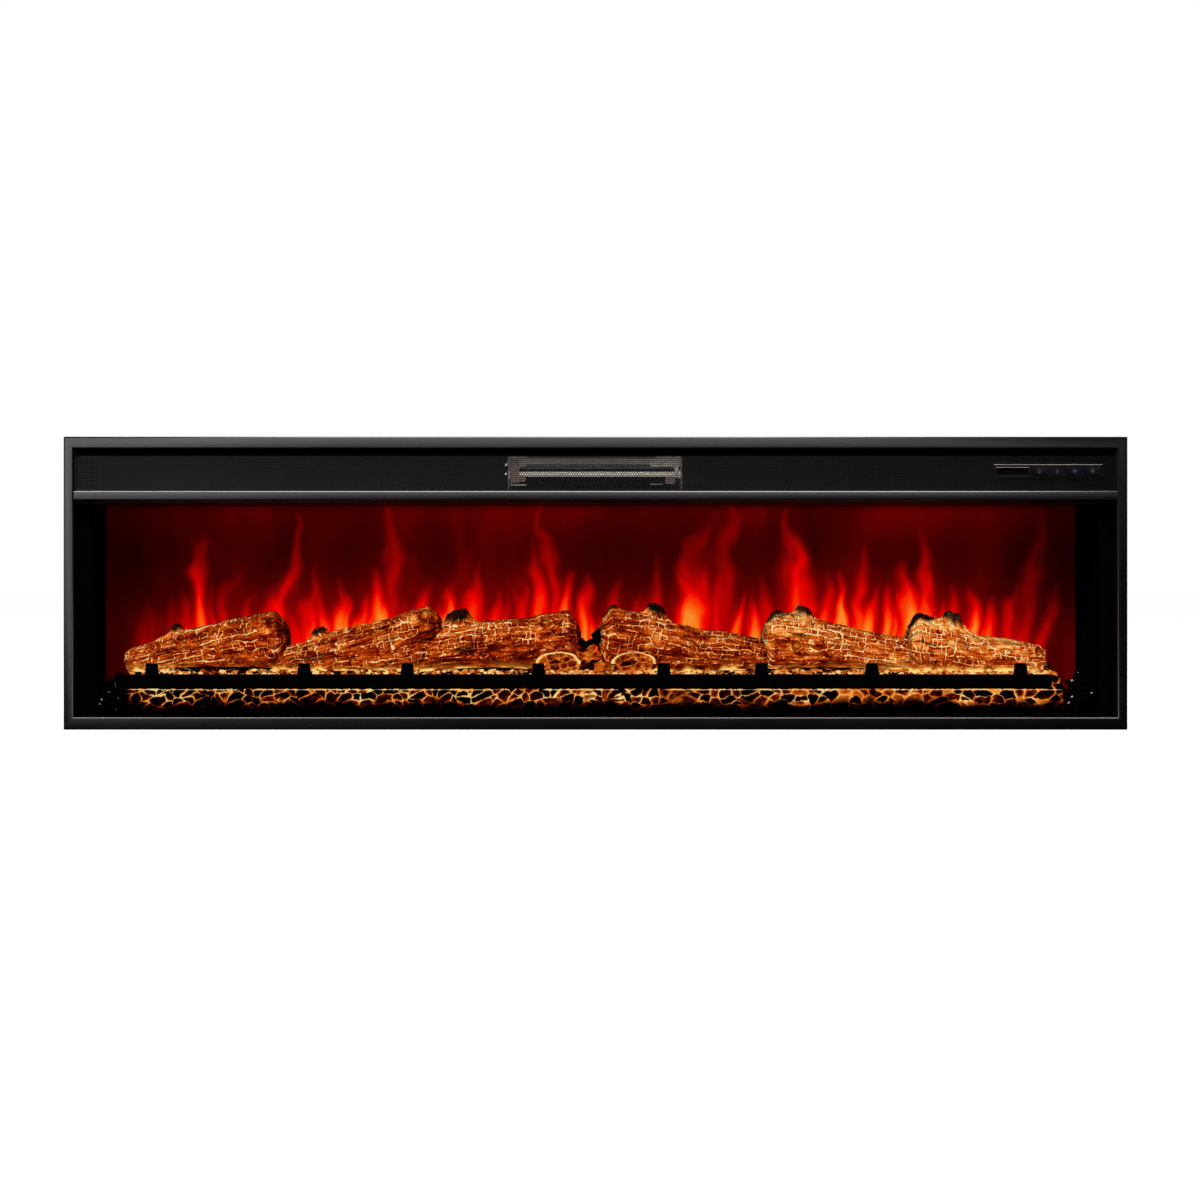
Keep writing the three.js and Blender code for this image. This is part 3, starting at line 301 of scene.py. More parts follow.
class Finish:
    """A material under construction, on one Principled shader."""

    def __init__(self, name, **constants):
        self.material = bpy.data.materials.new(name)
        self.material.use_nodes = True
        self.tree = self.material.node_tree
        self.shader = next(n for n in self.tree.nodes if n.type == "BSDF_PRINCIPLED")
        self.set(**constants)

    def set(self, **sockets):
        """Sets sockets of the shader, named with _ for each space, to a value or to a Term."""
        for name, value in sockets.items():
            self.connect(self.shader.inputs[name.replace("_", " ")], value)
        return self

    def connect(self, socket, value):
        if isinstance(value, Term):
            self.tree.links.new(value.socket, socket)
        elif isinstance(value, (tuple, list)) and len(value) == 3 and socket.type == "RGBA":
            socket.default_value = (*value, 1)
        else:
            socket.default_value = value

    def node(self, kind, settings=None, inputs=None, output=0):
        """Any node: its settings first, then its sockets' values or links. Gives one of its outputs. The
        setting named stops fills a colour ramp."""
        made = self.tree.nodes.new(kind)
        for name, value in (settings or {}).items():
            if name == "stops":
                self.fill_ramp(made.color_ramp, value)
            else:
                setattr(made, name, value)
        for key, value in (inputs or {}).items():
            self.connect(made.inputs[key], value)
        return Term(self, made.outputs[output])

    @staticmethod
    def fill_ramp(ramp, stops):
        while len(ramp.elements) > 1:
            ramp.elements.remove(ramp.elements[-1])
        for k, (place, colour) in enumerate(stops):
            element = ramp.elements[0] if k == 0 else ramp.elements.new(place)
            element.position = place
            element.color = (*colour, 1)

    def ramp(self, value, *stops):
        return self.node("ShaderNodeValToRGB", {"stops": stops}, {"Fac": value})

    def blend(self, share, first, second):
        """The colour that goes from first to second as share goes from 0 to 1."""
        settings = {"data_type": "RGBA", "clamp_factor": True}
        return self.node("ShaderNodeMix", settings, {0: share, 6: first, 7: second}, output=2)

    def scaled(self, colour, share):
        """A colour times a number, through Vector Math."""
        return self.node("ShaderNodeVectorMath", {"operation": "SCALE"}, {0: colour, "Scale": share})

    def place(self, scale=(1, 1, 1)):
        """Object coordinates, stretched."""
        found = self.node("ShaderNodeTexCoord", output=3)
        return self.node("ShaderNodeMapping", {}, {"Vector": found, "Scale": scale})

    def axis(self, name):
        """Object coordinates along one axis."""
        found = self.node("ShaderNodeTexCoord", output=3)
        return self.node("ShaderNodeSeparateXYZ", {}, {0: found}, output="XYZ".index(name))

    def value(self, name):
        """A number stored on the mesh's points."""
        return self.node("ShaderNodeAttribute", {"attribute_name": name}, output=2)

    def grain(self, scale, detail=3.0, rough=0.55, where=None, warp=0.0):
        """Cloudy noise from 0 to 1."""
        inputs = {"Vector": where or self.place(), "Scale": scale, "Detail": detail, "Roughness": rough,
                  "Distortion": warp}
        return self.node("ShaderNodeTexNoise", {}, inputs)

    def flakes(self, scale, output=0, feature="F1"):
        """A pattern of random cells."""
        inputs = {"Vector": self.place(), "Scale": scale}
        return self.node("ShaderNodeTexVoronoi", {"feature": feature}, inputs, output=output)

    def bumps(self, height, depth):
        """Relief of the given depth in metres, where height is 1."""
        inputs = {"Height": height, "Distance": depth, "Strength": 0.6}
        return self.set(Normal=self.node("ShaderNodeBump", {}, inputs))


MATERIALS = {}


def material(maker):
    """Makes each finish once, however many pieces take it."""

    def once():
        if maker.__name__ not in MATERIALS:
            MATERIALS[maker.__name__] = maker(bpy.context.scene.fireplace_colours).material
        return MATERIALS[maker.__name__]

    once.__name__ = maker.__name__
    once.__doc__ = maker.__doc__
    return once


def powder(name, colour, roughness=0.5, gloss=0.5):
    """Powder coat: an even colour with a fine orange peel, and a faint cloudiness."""
    finish = Finish(name, Specular_IOR_Level=gloss)
    cloud = finish.grain(7.0, 2.0)
    peel = finish.grain(1400.0, 1.0)
    finish.set(
        Base_Color=finish.blend(cloud * 0.5, tuple(colour), tuple(c * 1.25 for c in colour)),
        Roughness=roughness - 0.06 + cloud * 0.1 + peel * 0.04,
    )
    return finish.bumps(peel, 0.00006)


def speckled(name, grain, tones, roughness, depth=None, lit=None, **constants):
    """A finish that follows one grain. grain is its scale and detail, tones are the two colours that it goes
    between, roughness is the lowest and how much the grain adds, depth is the relief in metres, and lit is
    two colours of emission and its strength."""
    finish = Finish(name, **constants)
    speck = finish.grain(*grain)
    lowest, added = roughness
    finish.set(Base_Color=finish.blend(speck, *tones), Roughness=lowest + speck * added)
    if lit:
        dim, bright, strength = lit
        finish.set(Emission_Color=finish.blend(speck, dim, bright), Emission_Strength=strength)
    return finish.bumps(speck, depth) if depth else finish


@material
def frame_coat(colours):
    """Semi-matt black powder coat of the front."""
    return powder("frame_coat", colours.frame, 0.23, 0.6)


@material
def casing_coat(colours):
    """Satin black powder coat of the casing."""
    return powder("casing_coat", colours.casing, 0.55)


@material
def mesh_paint(colours):
    """Thin black paint on the perforated sheet."""
    return powder("mesh_paint", colours.mesh, 0.30, 0.2)


@material
def liner_black(colours):
    """Smooth black sheet that stays dark beside the flames."""
    tones = ((0.0004, 0.0004, 0.0004), (0.0012, 0.0012, 0.0013))
    return speckled("liner_black", (40.0, 4.0), tones, (0.5, 0.1), Specular_IOR_Level=0.0)


@material
def window_glass(colours):
    """Clear glass with a low-reflection coat."""
    finish = Finish("window_glass", IOR=1.45, Specular_IOR_Level=0.008, Roughness=0.03)
    smear = finish.grain(9.0, 2.0).step(0.4, 0.9)
    finish.set(Base_Color=(0.0, 0.0, 0.0), Alpha=0.03 + smear * 0.015)
    finish.material.surface_render_method = "BLENDED"
    return finish


@material
def flame_glow(colours):
    """The lit screen: dark red where the stored fire value is low, through red to orange where it is high."""
    finish = Finish("flame_glow", Base_Color=(0.0006, 0.0001, 0.0001), Roughness=0.6, Specular_IOR_Level=0.0)
    fire = finish.value("fire")
    glow = finish.ramp(
        fire,
        (0.0, (0.0, 0.0, 0.0)),
        (0.12, (0.006, 0.0, 0.0)),
        (0.2, (0.021, 0.0002, 0.0)),
        (0.29, (0.062, 0.0003, 0.0004)),
        (0.42, (0.22, 0.0004, 0.0006)),
        (0.56, (0.58, 0.0003, 0.0003)),
        (0.68, (0.95, 0.0015, 0.0005)),
        (0.79, (1.0, 0.045, 0.001)),
        (0.9, (1.0, 0.14, 0.006)),
        (1.0, (1.0, 0.26, 0.022)),
    )
    finish.set(Emission_Color=glow, Emission_Strength=1.0)
    return finish


@material
def burning_bark(colours):
    """Painted resin bark, lit from inside: amber streaks along the grain, black char on top of them, brighter
    lines along the cracks, and a hot glow at the foot."""
    finish = Finish("burning_bark", Roughness=0.5, Specular_IOR_Level=0.0)
    along, around, own = finish.value("along"), finish.value("around"), finish.value("own")

    def on_bark(lengthwise, crosswise, offset):
        """Places on the bark, as if it were rolled out flat, with so many units to the metre each way."""
        inputs = {0: along * lengthwise, 1: around * crosswise, 2: offset}
        return finish.node("ShaderNodeCombineXYZ", {}, inputs)

    streak = finish.grain(1.0, 6.0, 0.65, on_bark(26.0, 300.0, own), 0.8) - 0.5
    patch = finish.grain(1.0, 3.0, 0.6, on_bark(42.0, 60.0, own + 4.0), 1.2) - 0.5
    speck = finish.grain(620.0, 3.0, 0.6) - 0.5
    lit = finish.value("lit")
    crack = finish.value("crack")
    thinnest, spread = 0.22 * MM, 1.0 * MM
    width = finish.grain(110.0, 3.0) ** 1.5 * spread + thinnest
    line = 1 - (crack / width).step(0.4, 1.5)
    beside = (1 - line) * (1 - (crack / width).step(1.8, 6.0))  # painted shade: a dark edge on both sides of the line
    tone = streak * 1.1 + patch + speck * 0.5 + lit + 0.02 + line * (lit * 0.7 + 0.10) - beside * 0.12
    amber = finish.ramp(
        tone,
        (0.0, (0.001, 0.0, 0.0)),
        (0.2, (0.035, 0.0005, 0.0)),
        (0.34, (0.13, 0.0025, 0.0)),
        (0.48, (0.34, 0.022, 0.0005)),
        (0.62, (0.62, 0.092, 0.004)),
        (0.76, (0.92, 0.25, 0.028)),
        (0.90, (1.0, 0.50, 0.12)),
        (1.0, (1.0, 0.78, 0.36)),
    )
    hot = finish.ramp(
        finish.value("glow"),
        (0.0, (0.5, 0.06, 0.002)),
        (0.5, (1.0, 0.36, 0.04)),
        (1.0, (1.0, 0.72, 0.22)),
    )
    glow = finish.blend(finish.value("glow") * 1.3, amber, hot)
    char = finish.value("char") * (1.0 + streak * 0.9 + speck * 0.6)
    shown = finish.blend(char, glow, (0.004, 0.0015, 0.0006))
    finish.set(
        Base_Color=finish.blend(char, (0.0016, 0.0005, 0.0002), (0.0008, 0.0006, 0.0006)),
        Emission_Color=shown,
        Emission_Strength=1.0,
    )
    return finish.bumps(streak + speck * 0.5, 0.0016)


@material
def glowing_embers(colours):
    """Resin embers: dark lumps, amber where the light comes through, with burning seams between them."""
    finish = Finish("glowing_embers", Roughness=0.45, Specular_IOR_Level=0.0)
    seam, own, glow = finish.value("crack"), finish.value("own"), finish.value("glow")
    mottle = finish.grain(150.0, 5.0, 0.65) - 0.5
    thinnest, spread = 0.12 * MM, 2.2 * MM
    width = finish.grain(90.0, 3.0) ** 2.0 * spread + thinnest
    line = 1 - (seam / width).step(0.3, 1.4)
    halo_width = 3.8 * MM
    halo = 1 - (seam / halo_width).step(0.0, 1.0)
    body = finish.ramp(
        own * 0.68 + mottle * 1.2 + halo * 0.36,
        (0.2, (0.0004, 0.0, 0.0)),
        (0.40, (0.02, 0.0008, 0.0)),
        (0.56, (0.17, 0.010, 0.0003)),
        (0.72, (0.46, 0.075, 0.005)),
        (0.88, (0.72, 0.15, 0.012)),
        (1.0, (0.95, 0.29, 0.035)),
    )
    seam_colour = finish.ramp(
        glow,
        (0.0, (0.0, 0.0, 0.0)),
        (0.25, (0.14, 0.006, 0.0)),
        (0.45, (0.62, 0.11, 0.006)),
        (0.65, (1.0, 0.38, 0.05)),
        (1.0, (1.0, 0.74, 0.26)),
    )
    lump = finish.scaled(body, glow.step(0.2, 0.85))
    shown = finish.blend(line, lump, seam_colour)
    finish.set(Base_Color=(0.0002, 0.0001, 0.0001), Emission_Color=shown, Emission_Strength=1.0)
    return finish.bumps(mottle, 0.001)


@material
def coal_gloss(colours):
    """Crushed black coal. A few of the lumps have a glassy face, which the stored glint picks out."""
    finish = Finish("coal_gloss", Specular_IOR_Level=0.0, Coat_Roughness=0.08)
    facet = finish.grain(260.0, 3.0)
    finish.set(Base_Color=finish.blend(facet, (0.0002, 0.0002, 0.0002), (0.0010, 0.0009, 0.0009)),
               Roughness=0.25 + facet * 0.2, Coat_Weight=finish.value("glint"))
    return finish.bumps(facet, 0.0008)


@material
def grate_iron(colours):
    """Matt black cast bar."""
    tones = ((0.0001, 0.0001, 0.0001), (0.0005, 0.0004, 0.0004))
    return speckled("grate_iron", (420.0, 4.0), tones, (0.7, 0.2), 0.0006, Specular_IOR_Level=0.01)


@material
def zinc_plate(colours):
    """Zinc-plated steel with a faint crystal pattern."""
    finish = Finish("zinc_plate", Metallic=0.9)
    crystal = finish.flakes(160.0, output=1)
    tone = finish.node("ShaderNodeSeparateColor", {}, {0: crystal})
    finish.set(Base_Color=finish.blend(tone, (0.42, 0.43, 0.44), (0.6, 0.61, 0.62)),
               Roughness=0.28 + tone * 0.16)
    return finish


@material
def polished_aluminium(colours):
    """Bright reflector sheet with faint rolling lines."""
    finish = Finish("polished_aluminium", Metallic=1.0)
    rolled = finish.grain(1.0, 2.0, where=finish.place((4, 900, 900)))
    finish.set(Base_Color=finish.blend(rolled, (0.78, 0.78, 0.8), (0.9, 0.9, 0.91)),
               Roughness=0.1 + rolled * 0.12)
    return finish


@material
def element_sheath(colours):
    """Pale, slightly heat-stained metal of the heating elements."""
    tones = ((0.95, 0.93, 0.88), (0.8, 0.72, 0.6))
    lit = ((0.75, 0.72, 0.64), (0.5, 0.46, 0.38), 0.46)
    return speckled("element_sheath", (35.0, 4.0), tones, (0.35, 0.25), lit=lit, Metallic=0.35)


@material
def element_upper_metal(colours):
    """Grey strip element with fine cross ribs, between paler end blocks."""
    tones = ((0.55, 0.53, 0.5), (0.36, 0.3, 0.27))
    lit = ((0.16, 0.155, 0.145), (0.09, 0.07, 0.06), 0.55)
    finish = speckled("element_upper_metal", (30.0, 3.0), tones, (0.45, 0.2), lit=lit, Metallic=0.3)
    rib = finish.node("ShaderNodeTexWave", {"wave_type": "BANDS", "bands_direction": "X"},
                      {"Vector": finish.place(), "Scale": 60.0})
    return finish.bumps(rib, 0.0008)


@material
def ceramic_block(colours):
    """Off-white ceramic of the element's terminal blocks."""
    finish = Finish("ceramic_block")
    pore = finish.grain(300.0, 4.0)
    finish.set(
        Base_Color=finish.blend(pore, (0.36, 0.34, 0.31), (0.5, 0.48, 0.44)),
        Roughness=0.6 + pore * 0.2,
        Emission_Color=finish.blend(pore.step(0.3, 0.7), (0.05, 0.045, 0.04), (0.22, 0.20, 0.175)),
        Emission_Strength=1.0,
    )
    return finish.bumps(pore, 0.0004)


@material
def bracket_steel(colours):
    """Steel that the heat has turned brown."""
    tones = ((0.16, 0.11, 0.10), (0.26, 0.20, 0.18))
    lit = ((0.035, 0.022, 0.020), (0.07, 0.05, 0.045), 1.0)
    return speckled("bracket_steel", (180.0, 4.0), tones, (0.45, 0.2), 0.0004, lit, Metallic=0.4)


@material
def bright_screw(colours):
    """Nickel-plated screw head."""
    tones = ((0.75, 0.74, 0.72), (0.9, 0.9, 0.88))
    lit = ((0.8, 0.78, 0.76), (1.0, 1.0, 1.0), 0.9)
    return speckled("bright_screw", (500.0, 2.0), tones, (0.2, 0.1), lit=lit, Metallic=0.9)


@material
def moulded_black(colours):
    """Black moulded plastic with a fine spark texture."""
    tones = ((0.0008, 0.0008, 0.0009), (0.002, 0.002, 0.0023))
    return speckled("moulded_black", (1700.0, 2.0), tones, (0.22, 0.1), 0.00008, Specular_IOR_Level=0.12)


@material
def bead_satin(colours):
    """Satin edge of the bezel, which shines more than its face."""
    tones = ((0.16, 0.14, 0.135), (0.26, 0.235, 0.225))
    return speckled("bead_satin", (240.0, 3.0), tones, (0.35, 0.15), Specular_IOR_Level=0.4)


@material
def button_plastic(colours):
    """Dark blue-black button plastic."""
    tones = ((0.0014, 0.0014, 0.0020), (0.0028, 0.0028, 0.0038))
    return speckled("button_plastic", (1500.0, 1.0), tones, (0.24, 0.1), 0.00005, Specular_IOR_Level=0.08)


@material
def symbol_print(colours):
    """Pale grey print of the symbols."""
    finish = Finish("symbol_print", Roughness=0.5)
    ink = finish.grain(2500.0, 2.0)
    finish.set(Base_Color=finish.blend(ink, (0.030, 0.030, 0.036), (0.07, 0.07, 0.08)))
    return finish


@material
def display_gloss(colours):
    """Deep black gloss window over the display."""
    tones = ((0.001, 0.0008, 0.0008), (0.003, 0.002, 0.002))
    return speckled("display_gloss", (60.0, 2.0), tones, (0.04, 0.05), Specular_IOR_Level=0.1)


@material
def circuit_board(colours):
    """Green solder mask with copper tracks under it."""
    finish = Finish("circuit_board", Specular_IOR_Level=0.1)
    track = finish.flakes(120.0, feature="DISTANCE_TO_EDGE").step(0.05, 0.03)
    finish.set(Base_Color=finish.blend(track, (0.004, 0.030, 0.012), (0.010, 0.05, 0.02)),
               Roughness=0.45 + track * 0.1)
    return finish.bumps(track, 0.0001)


@material
def led_board(colours):
    """White strip with chips on its upper face that give warm light."""
    finish = Finish("led_board", Roughness=0.5)
    chip_height = 0.8 * MM
    chip = finish.axis("Z").exceeds(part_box("led_strip_flame")[1].z - chip_height)
    finish.set(
        Base_Color=finish.blend(chip, (0.5, 0.5, 0.48), (0.8, 0.7, 0.4)),
        Emission_Color=finish.blend(chip, (0.0, 0.0, 0.0), (1.0, 0.45, 0.12)),
        Emission_Strength=1.5,
    )
    return finish


@material
def gland_rubber(colours):
    """Soft black rubber."""
    tones = ((0.012, 0.012, 0.012), (0.03, 0.03, 0.03))
    return speckled("gland_rubber", (220.0, 3.0), tones, (0.75, 0.15), 0.0002, Specular_IOR_Level=0.3)


# ---------------------------------------------------------------- front
def swept_ring(shell, profile, outer, inner):
    """A profile carried round a rectangle with mitred corners. Each point of the profile is a share from the
    outer edge to the inner edge, an extra distance towards the middle, and a depth along Y."""
    share, extra, depth = np.array(profile, float).T
    corners = [(0, 2), (1, 2), (1, 3), (0, 3)]
    middle = [(outer[0] + outer[1]) / 2, (outer[2] + outer[3]) / 2]
    rings = []
    for ix, iz in corners:
        x = outer[ix] + (inner[ix] - outer[ix]) * share
        z = outer[iz] + (inner[iz] - outer[iz]) * share
        x = x + np.sign(middle[0] - outer[ix]) * extra
        z = z + np.sign(middle[1] - outer[iz]) * extra
        rings.append(np.stack([x, depth, z], -1))
    rings = np.array(rings)
    shell.add(rings, grid_faces(4, len(profile), wrap_rows=True, wrap_columns=True))


def upright_block(x0, x1, z0, z1, y0, y1):
    """The two rings of a block that stands upright, for Shell.tube."""
    return np.array([[(x0, y, z0), (x1, y, z0), (x1, y, z1), (x0, y, z1)] for y in (y0, y1)])


def folded_profile(y0, returns, lip, sheet, bend, turns=6):
    """The section of a folded ring: out along the outer return, round a bend, across the face, round a bend
    and back along the lip, then the same path again on the inside of the sheet."""
    path = []

    def arc(share, sign, radius, start, stop):
        for angle in np.linspace(start, stop, turns):
            extra = sign * (bend - radius * math.cos(angle))
            path.append((share, extra, y0 + bend - radius * math.sin(angle)))

    path.append((0, 0, y0 + returns))
    arc(0, 1, bend, 0, math.pi / 2)
    arc(1, -1, bend, math.pi / 2, 0)
    path.append((1, 0, y0 + lip))
    path.append((1, -sheet, y0 + lip))
    arc(1, -1, bend - sheet, 0, math.pi / 2)
    arc(0, 1, bend - sheet, math.pi / 2, 0)
    path.append((0, sheet, y0 + returns))
    return path


def opening_edges(sizes):
    """The front's opening, as lowest and highest X and Z."""
    low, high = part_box("front_frame")
    left, right = low.x + sizes.frame_side, high.x - sizes.frame_side
    return left, right, low.z + sizes.frame_bottom, high.z - sizes.frame_top


class FIREPLACE_OT_front(bpy.types.Operator):
    """Front frame and centre rail: folded sheet with rounded bends that catch the light"""

    bl_idname = "fireplace.front"
    bl_label = "Front Frame and Rail"

    def execute(self, context):
        sizes = context.scene.fireplace_sizes
        self.ring(sizes)
        self.rail(sizes)
        return {"FINISHED"}

    @staticmethod
    def ring(sizes):
        """The frame, folded back round its outside and in its opening."""
        low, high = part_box("front_frame")
        outer_return = 12 * MM
        profile = folded_profile(low.y, outer_return, high.y - low.y, sizes.sheet, sizes.bend)
        shell = Shell()
        swept_ring(shell, profile, (low.x, high.x, low.z, high.z), opening_edges(sizes))
        shell.piece("front_frame_folded", frame_coat(), slot="frame_black", replaces=["front_frame"],
                    sharp=50)

    def rail(self, sizes):
        """The rail between the grille and the window: a channel, with a flat cap at each end."""
        low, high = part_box("centre_rail")
        section = self.rail_section(low, high, sizes)
        count = len(section)
        rings = [np.column_stack([np.full(count, x), section]) for x in (low.x, high.x)]
        pair = np.arange(count // 2 - 1)
        cap = np.stack([pair, pair + 1, count - 2 - pair, count - 1 - pair], -1)
        shell = Shell()
        shell.add(rings, grid_faces(2, count, wrap_columns=True), cap, cap[:, ::-1] + count)
        shell.piece("centre_rail_folded", frame_coat(), slot="frame_black", replaces=["centre_rail"],
                    sharp=50)

    @staticmethod
    def rail_section(low, high, sizes):
        """A channel in Y and Z: over the top, down the front with rounded bends and back below, then the same
        path on the inside of the sheet, the other way."""
        outside, inside = [], []
        for z, sign in ((high.z, -1), (low.z, 1)):
            turn = np.linspace(0, math.pi / 2, 7)
            turn = turn if sign < 0 else turn[::-1]
            for path, radius in ((outside, sizes.bend), (inside, sizes.bend - sizes.sheet)):
                y = low.y + sizes.bend - radius * np.sin(turn)
                path.append(np.stack([y, z + sign * (sizes.bend - radius * np.cos(turn))], -1))
        outer = np.vstack([[[high.y, high.z]], *outside, [[high.y, low.z]]])
        gap = sizes.sheet
        inner = np.vstack([[[high.y, high.z - gap]], *inside, [[high.y, low.z + gap]]])
        return np.vstack([outer, inner[::-1]])


class FIREPLACE_OT_grille(bpy.types.Operator):
    """Perforated sheet: a hexagon round each hole, in staggered rows, in three lengths"""

    bl_idname = "fireplace.grille"
    bl_label = "Perforated Grille"

    def execute(self, context):
        sizes = context.scene.fireplace_sizes
        low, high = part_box("mesh_grille")
        pitch, thick = sizes.hole_pitch, 0.8 * MM
        row_step = pitch * math.sqrt(3) / 2
        rows = int((high.z - low.z - pitch) / row_step) + 1
        columns = int((high.x - low.x - pitch) / pitch)
        r, c = np.meshgrid(np.arange(rows), np.arange(columns), indexing="ij")
        x = (low.x + high.x) / 2 + (c - (columns - 1) / 2) * pitch + (r % 2 - 0.5) * pitch / 2
        z = (low.z + high.z) / 2 + (r - (rows - 1) / 2) * row_step
        holed = ~self.behind_bezel(x, z)
        third = np.clip(((x - low.x) / (high.x - low.x) * 3).astype(int), 0, 2)
        for part in range(3):
            shell = Shell()
            chosen = holed & (third == part)
            self.holes(shell, x[chosen], z[chosen], low.y, thick, pitch, sizes.hole_width)
            self.border(shell, part, low, high, thick)
            replaced = ["mesh_grille"] if part == 1 else []
            shell.piece(f"grille_sheet_{part + 1}", mesh_paint(), slot="grille_mesh", replaces=replaced,
                        smooth_faces=False)
        self.seal(low, high, sizes.seal)
        return {"FINISHED"}

    @staticmethod
    def behind_bezel(x, z):
        """Which places lie behind the control bezel, where the sheet has no holes."""
        low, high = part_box("control_bezel")
        margin = 1.2 * MM
        beside = abs(x - (low.x + high.x) / 2) < (high.x - low.x) / 2 - margin
        level = abs(z - (low.z + high.z) / 2) < (high.z - low.z) / 2 - margin
        return beside & level

    @staticmethod
    def seal(low, high, height):
        """The thin black strip along the top edge of the sheet, in front of it."""
        inset, front, back = 1 * MM, low.y - 0.5 * MM, low.y - 0.1 * MM
        shell = Shell()
        shell.tube(upright_block(low.x + inset, high.x - inset, high.z - height, high.z, front, back))
        shell.piece("grille_top_shadow", liner_black(), slot="grille_mesh", smooth_faces=False)

    @staticmethod
    def holes(shell, x, z, y, thick, pitch, width):
        """Six points on each hexagon and six on its hole, for the front and for the back."""
        turn = np.arange(6) * math.pi / 3 + math.pi / 6
        outer, inner = pitch / math.sqrt(3), width / 2
        radius = np.array([outer, inner, outer, inner])[:, None]
        depth = np.array([0, 0, thick, thick])[:, None]
        template = np.stack(np.broadcast_arrays(radius * np.cos(turn), depth, radius * np.sin(turn)), -1)
        points = template.reshape(1, 24, 3) + np.stack([x, np.full(len(x), y), z], -1)[:, None]
        k = np.arange(6)
        n = (k + 1) % 6
        front = np.stack([k, n, 6 + n, 6 + k], -1)
        wall = np.stack([6 + k, 6 + n, 18 + n, 18 + k], -1)
        back = np.stack([18 + k, 18 + n, 12 + n, 12 + k], -1)
        faces = np.vstack([front, wall, back])[None] + (np.arange(len(x)) * 24)[:, None, None]
        shell.add(points, faces.reshape(-1, 4), closed=False)

    @staticmethod
    def border(shell, part, low, high, thick):
        """The sheet's plain edge: thin bars over the half holes along the top, the bottom and the ends."""
        length = (high.x - low.x) / 3
        x0, x1 = low.x + part * length, low.x + (part + 1) * length
        strip = 1.8 * MM
        bars = [(x0, x1, low.z, low.z + strip), (x0, x1, high.z - strip, high.z)]
        if part == 0:
            bars.append((low.x, low.x + strip, low.z, high.z))
        if part == 2:
            bars.append((high.x - strip, high.x, low.z, high.z))
        for bar in bars:
            shell.tube(upright_block(*bar, low.y - 0.05 * MM, low.y + thick))


class FIREPLACE_OT_glazing(bpy.types.Operator):
    """Window pane with eased edges, and the clips in its corners"""

    bl_idname = "fireplace.glazing"
    bl_label = "Window Glass and Clips"

    def execute(self, context):
        rounded_copy("front_glass", "window_pane", window_glass(), CASING, 0.5 * MM)
        for side in ("left", "right"):
            node, name = f"glass_clip_{side}", f"window_clip_{side}"
            rounded_copy(node, name, liner_black(), CASING, 0.3 * MM)
        return {"FINISHED"}


# ---------------------------------------------------------------- controls
def flat_bars(bars, y, thick):
    """Thin bars on a face: each is two ends in X and Z and a width, as a closed block."""
    shell = Shell()
    for (xa, za), (xb, zb), width in bars:
        along = np.array([xb - xa, zb - za])
        side = np.array([-along[1], along[0]]) / np.hypot(*along) * width / 2
        ends = np.array([(xa, za), (xb, zb)])
        outline = np.vstack([ends + side, (ends - side)[::-1]])
        rings = [np.insert(outline, 1, depth, axis=1) for depth in (y, y + thick)]
        shell.tube(np.stack(rings))
    return shell


def arc_bars(x, z, radius, start, stop, width, steps=10):
    """Short bars along an arc, its angles in degrees."""
    turn = np.radians(np.linspace(start, stop, steps + 1))
    places = np.stack([x + radius * np.cos(turn), z + radius * np.sin(turn)], -1)
    return [(tuple(a), tuple(b), width) for a, b in zip(places[:-1], places[1:])]


def symbol_bars(name, x, z, s):
    """The generic symbol of each button, drawn with strokes: s is half its height."""
    w = s * 0.2
    if name == "power":
        return arc_bars(x, z, s * 0.8, 125, 415, w, 14) + [((x, z + s * 0.15), (x, z + s * 1.05), w)]
    if name == "flame":
        return arc_bars(x, z - s * 0.25, s * 0.65, 150, 390, w) + [
            ((x - s * 0.56, z + s * 0.05), (x + s * 0.1, z + s * 1.05), w),
            ((x + s * 0.1, z + s * 1.05), (x + s * 0.56, z + s * 0.05), w),
        ]
    if name == "heat":
        wave = []
        for k in (-1, 0, 1):
            middle = x + k * s * 0.65
            wave += arc_bars(middle, z + s * 0.4, s * 0.36, -90, 90, w, 6)
            wave += arc_bars(middle, z - s * 0.32, s * 0.36, 90, 270, w, 6)
        return wave
    return arc_bars(x, z, s * 0.85, 0, 360, w, 16) + [
        ((x, z), (x, z + s * 0.55), w),
        ((x, z), (x + s * 0.4, z), w),
    ]


